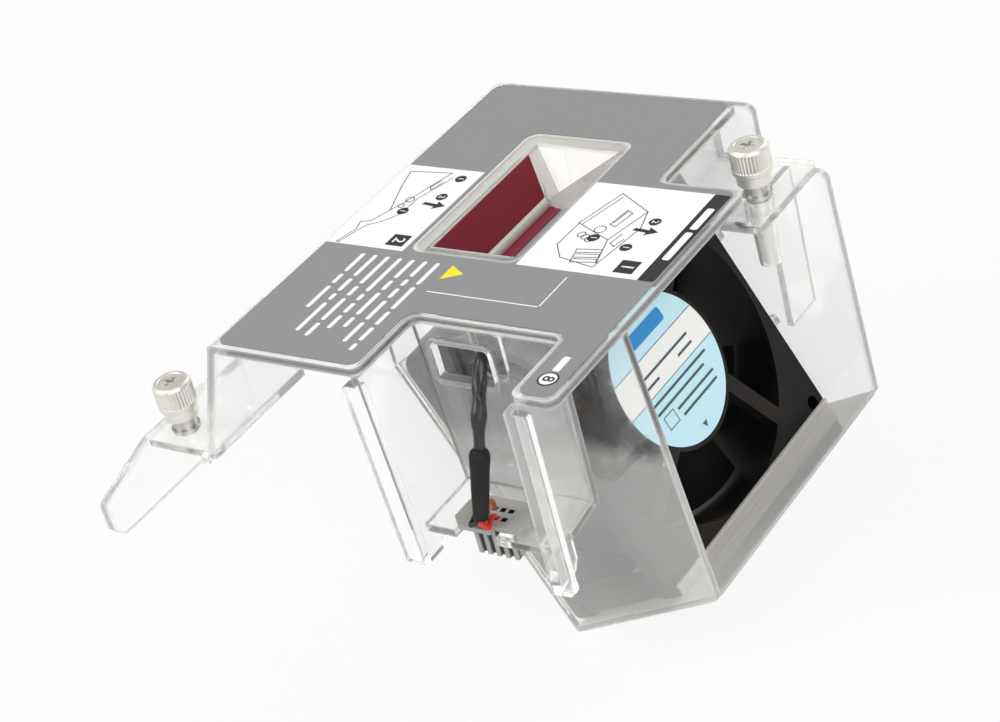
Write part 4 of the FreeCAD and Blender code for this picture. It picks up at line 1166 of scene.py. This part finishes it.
@dataclass
class LeadDress:
    """The motor lead's creased sleeve and the shrunk boot that it ends in."""

    paint: Paintbox
    route: tuple[Place, ...] = (
        (0.09545, 0.0412, 0.02268), (0.09545, 0.0231, 0.02268), (0.0971, 0.0192, 0.0312),
        (0.0987, 0.0125, 0.0225), (0.1003, 0.0078, 0.0182), (0.1004, 0.0060, 0.0139),
        (0.1005, 0.0040, 0.0090))
    girths: tuple[float, ...] = (0.9, 0.9, 0.85, 1.05, 1.15, 0.75, 0.95)
    radius: float = 1.9 * MM
    sides: int = 24
    twist: float = 1.0 / (11.0 * MM)
    lobe: float = 0.075
    wrinkle: float = 0.03
    boot_sides: int = 36
    boot_top: Place = (0.1005, 0.0044, 0.0100)
    boot_end: Place = (0.1008, -0.0029, -0.0074)
    boot_profile: tuple[Point, ...] = (
        (1.2, -0.7), (1.75, -0.5), (2.4, 0.1), (2.8, 1.2), (2.85, 2.8), (2.6, 5.0), (2.5, 9.0), (2.35, 13.0),
        (2.1, 17.0), (1.95, 18.6), (1.6, 18.85), (0.0, 18.85))

    def build(self) -> None:
        """Makes the sleeve and the boot in place of their plain solids."""
        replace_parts(self._sleeve(), "cable_sleeve")
        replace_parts(self._boot(), "heat_shrink_boot")

    def _sleeve(self) -> bpy.types.Object:
        """Makes the sleeve along a smooth line, with the twist of the wires inside it.

        Returns:
            The sleeve.
        """
        curve = bpy.data.curves.new("sleeve_line", "CURVE")
        curve.dimensions = "3D"
        curve.bevel_depth = self.radius
        curve.bevel_resolution = (self.sides - 4) // 2
        curve.resolution_u = 10
        curve.use_fill_caps = True
        spline = curve.splines.new("NURBS")
        spline.points.add(len(self.route) - 1)
        for point, place, girth in zip(spline.points, self.route, self.girths):
            point.co = (*place, 1.0)
            point.radius = girth
        spline.order_u = 3
        spline.use_endpoint_u = True
        bm = bmesh.new()
        add_curve(bm, curve)
        self._crease(bm)
        return self._smooth(add_piece("lead_sleeve", bm, Matrix(), "module", self.paint, Stock.SLEEVE))

    def _crease(self, bm: bmesh.types.BMesh) -> None:
        """Presses a slow spiral into the sleeve, ring by ring.

        Args:
            bm: the sleeve.
        """
        bm.verts.ensure_lookup_table()
        rings = [bm.verts[start:start + self.sides] for start in range(0, len(bm.verts), self.sides)]
        run = 0.0
        last = None
        for ring in rings:
            centre = sum((vert.co for vert in ring), Vector()) / len(ring)
            run += (centre - last).length if last else 0.0
            last = centre
            for step, vert in enumerate(ring):
                angle = 2 * math.pi * step / self.sides
                lobes = self.lobe * math.sin(2 * angle + 2 * math.pi * run * self.twist)
                fine = self.wrinkle * math.sin(5 * angle - 2.6 * math.pi * run * self.twist)
                vert.co = centre + (vert.co - centre) * (1.0 + lobes + fine)

    def _boot(self) -> bpy.types.Object:
        """Spins the boot's profile, which bulges below its mouth and narrows to its end.

        Returns:
            The boot.
        """
        bm = spun(self.boot_profile, self.boot_sides, False)
        start, end = Vector(self.boot_top), Vector(self.boot_end)
        turn = (end - start).to_track_quat("Z", "Y").to_matrix().to_4x4()
        place = Matrix.Translation(start) @ turn @ Matrix.Scale(MM, 4)
        return self._smooth(add_piece("lead_boot", bm, place, "module", self.paint, Stock.SHRINK))

    @staticmethod
    def _smooth(piece: bpy.types.Object) -> bpy.types.Object:
        """Shades a piece smooth.

        Args:
            piece: the piece.

        Returns:
            The same piece.
        """
        for polygon in piece.data.polygons:
            polygon.use_smooth = True
        return piece


# Captive screws


@dataclass
class Thumbscrew:
    """The knurled knob of one captive screw and the spring under it, with sizes in millimetres."""

    paint: Paintbox
    side: str
    knurls: int = 36
    knurl_depth: float = 0.3
    knurl_span: Point = (5.0, 10.3)
    grip_radius: float = 5.65
    bore_radius: float = 4.6
    collar_top: float = 3.2
    wall: float = 0.1
    slack: float = 0.01
    coil_radius: float = 3.2
    wire_radius: float = 0.35
    wire_sides: int = 8
    turns: int = 4
    steps: int = 24
    travel: float = 4.4
    profile: tuple[Point, ...] = (
        (1.65, 8.0), (4.6, 8.0), (4.6, 0.0), (4.85, 0.0), (4.95, 0.1), (4.95, 3.0), (5.0, 3.2), (5.4, 3.3),
        (5.65, 3.6), (5.65, 4.7), (5.65, 5.0), (5.65, 10.3), (5.65, 10.5), (5.25, 11.1), (4.95, 11.4),
        (4.7, 11.5), (3.9, 11.5), (3.7, 11.35), (3.65, 11.0), (3.65, 9.55), (1.65, 9.55))

    def build(self) -> None:
        """Makes the knob and the spring in place of their plain solids."""
        self._knob()
        self._spring()

    @staticmethod
    def _stand(low: Vector, high: Vector) -> Matrix:
        """Returns the matrix that stands a shape in millimetres on the middle of a box's floor."""
        centre = (low + high) / 2
        return Matrix.Translation((centre.x, centre.y, low.z)) @ Matrix.Scale(MM, 4)

    def _knob(self) -> None:
        """Spins the knob's profile and knurls it."""
        place = self._stand(*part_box(f"{self.side}_knob"))
        bm = spun(self.profile, self.knurls * 4, True)
        self._knurl(bm)
        name, body = f"{self.side}_thumbscrew", f"{self.side}_screw"
        piece = add_piece(name, bm, place, body, self.paint, Stock.NICKEL)
        for stock in (Stock.NICKEL_WORN, Stock.STEEL):
            piece.data.materials.append(self.paint.material(stock))
        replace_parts(piece, f"{self.side}_knob")

    def _spring(self) -> None:
        """Winds the spring in place of its plain solid, riding on the screw's carriage."""
        low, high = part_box(f"{self.side}_spring")
        length = (high.z - low.z) / MM
        bm = bmesh.new()
        upright = Matrix.Rotation(math.pi / 2, 4, "X")
        wire = bmesh.ops.create_circle(
            bm, cap_ends=False, segments=self.wire_sides, radius=self.wire_radius,
            matrix=Matrix.Translation((self.coil_radius, 0, self.wire_radius)) @ upright)
        pitch = (length - 2 * self.wire_radius) / self.turns
        bmesh.ops.spin(bm, geom=wire["verts"] + bm.edges[:], cent=(0, 0, 0), axis=(0, 0, 1),
                       dvec=(0, 0, pitch / self.steps), angle=2 * math.pi * self.turns,
                       steps=self.steps * self.turns, use_merge=False, use_duplicate=False)
        ends = [edge for edge in bm.edges if edge.is_boundary]
        bmesh.ops.holes_fill(bm, edges=ends, sides=self.wire_sides)
        bmesh.ops.recalc_face_normals(bm, faces=bm.faces)
        name, body = f"{self.side}_screw_spring", f"{self.side}_screw_carriage"
        piece = add_piece(name, bm, self._stand(low, high), body, self.paint, Stock.SPRING)
        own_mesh(piece)
        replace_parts(piece, f"{self.side}_spring")

    def _knurl(self, bm: bmesh.types.BMesh) -> None:
        """Presses straight knurls into the grip, with painted shade in their valleys.

        Args:
            bm: the knob, plain.
        """
        start, end = self.knurl_span
        for vert in bm.verts:
            tall = start - self.slack < vert.co.z < end + self.slack
            if tall and vert.co.xy.length > self.grip_radius - self.slack:
                wave = 0.5 - 0.5 * math.cos(self.knurls * math.atan2(vert.co.y, vert.co.x))
                vert.co.xy *= 1.0 - self.knurl_depth * wave / vert.co.xy.length
        valley = self.grip_radius - self.knurl_depth / 2
        for face in bm.faces:
            middle = face.calc_center_median()
            radius = middle.xy.length
            if middle.z < self.collar_top and radius > self.bore_radius + self.wall:
                face.material_index = 2
            # painted shade: the valleys take the darker nickel
            elif start < middle.z < end and self.bore_radius + self.wall < radius < valley:
                face.material_index = 1


# Stage


@dataclass
class Studio:
    """The floor, the lamps, the world and the camera."""

    azimuth: float = 41.01
    elevation: float = 31.52
    roll: float = -15.47
    lens: float = 87.24
    camera_at: Place = (0.45193, -0.38257, 0.35484)
    floor_size: float = 6.0
    floor_gap: float = 0.5 * MM
    floor_gray: float = 0.8
    floor_glow: float = 0.87
    dark_from: float = 0.08
    dark_rate: float = 2.5
    darkness: float = 0.42
    room_light: float = 0.5
    aim: Place = (0.08, 0.07, 0.0)
    lamps: tuple[tuple[str, Place, float, float], ...] = (
        ("key", (-0.9, -1.0, 1.5), 0.9, 17.5), ("fill", (1.5, -0.9, 1.1), 1.2, 17.0),
        ("rim", (0.3, 1.6, 1.2), 1.0, 10.0))

    def build(self) -> None:
        """Makes everything that isn't the object."""
        self._camera()
        self._floor()
        self._world()
        for lamp in self.lamps:
            self._lamp(*lamp)

    def _camera(self) -> None:
        """Sets a long lens over the module's near corner, a little rolled."""
        data = bpy.data.cameras.new("camera")
        data.lens = self.lens
        data.sensor_width = 36.0
        data.clip_start = 0.01
        camera = link("camera", data)
        turn = (Matrix.Rotation(math.radians(self.azimuth), 4, "Z")
                @ Matrix.Rotation(math.radians(90 - self.elevation), 4, "X")
                @ Matrix.Rotation(math.radians(self.roll), 4, "Z"))
        camera.matrix_world = Matrix.Translation(self.camera_at) @ turn
        bpy.context.scene.camera = camera

    def _floor(self) -> None:
        """Lays a pale floor just under the module, which keeps its shadow."""
        low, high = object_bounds()
        bm = bmesh.new()
        bmesh.ops.create_grid(bm, x_segments=1, y_segments=1, size=self.floor_size / 2)
        centre = (low + high) / 2
        bm.transform(Matrix.Translation((centre.x, centre.y, low.z - self.floor_gap)))
        floor = link("floor", to_mesh("floor", bm))
        shader = Shader(bpy.data.materials.new("floor"))
        matt = shader.node("BsdfDiffuse", {"Color": (*[self.floor_gray] * 3, 1.0)}).outputs[0]
        glow = shader.node("Emission", {"Color": (1.0, 1.0, 1.0, 1.0), "Strength": 1.0}).outputs[0]
        share = shader.ray("Camera", "Glossy", "Transmission") * self.floor_glow
        shader.surface(shader.layers(share, matt, glow))
        floor.data.materials.append(shader.owner)
        floor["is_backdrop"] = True

    def _world(self) -> None:
        """Makes a world that is white behind the module and grayer in reflections from overhead."""
        world = bpy.data.worlds.new("studio")
        bpy.context.scene.world = world
        shader = Shader(world)
        way = shader.node("TexCoord").outputs["Generated"]
        _, _, up = shader.axes(way)
        mirror = 1.0 - ((up - self.dark_from) * self.dark_rate).clamped() * self.darkness
        camera = shader.ray("Camera")
        seen = shader.ray("Glossy", "Transmission")
        level = camera + (1.0 - camera) * (seen * mirror + (1.0 - seen) * self.room_light)
        sky = shader.node("Background", {"Color": (1.0, 1.0, 1.0, 1.0), "Strength": level})
        shader.surface(sky.outputs[0])

    def _lamp(self, name: str, place: Place, size: float, power: float) -> None:
        """Hangs a square softbox, aimed at the module.

        Args:
            name: the lamp's name.
            place: where it hangs, in metres.
            size: the length of its side, in metres.
            power: its power in watts.
        """
        data = bpy.data.lights.new(name, "AREA")
        data.size = size
        data.energy = power
        way = Vector(self.aim) - Vector(place)
        turn = way.to_track_quat("-Z", "Y").to_matrix().to_4x4()
        link(name, data).matrix_world = Matrix.Translation(place) @ turn


def main() -> None:
    """Loads the construction, dresses it, prints its films and sets the studio."""
    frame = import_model()
    bpy.context.scene.view_settings.view_transform = "Standard"
    paint = Paintbox()
    for name, piece in frame["nodes"].items():
        paint.dress(piece, NODE_FINISH[name])
        log.info("%s: %s", name, NODE_FINISH[name].name)
    spin = next(joint for joint in frame["joints"] if joint["name"] == "fan_spin")
    CoverPrint(paint).build()
    HubPrint(paint, spin, frame["nodes"]["hub_label"]).build()
    LeadDress(paint).build()
    for side in ("left", "right"):
        Thumbscrew(paint, side).build()
    Studio().build()


if __name__ == "__main__":
    logging.basicConfig(level=logging.INFO, format="%(message)s")
    main()
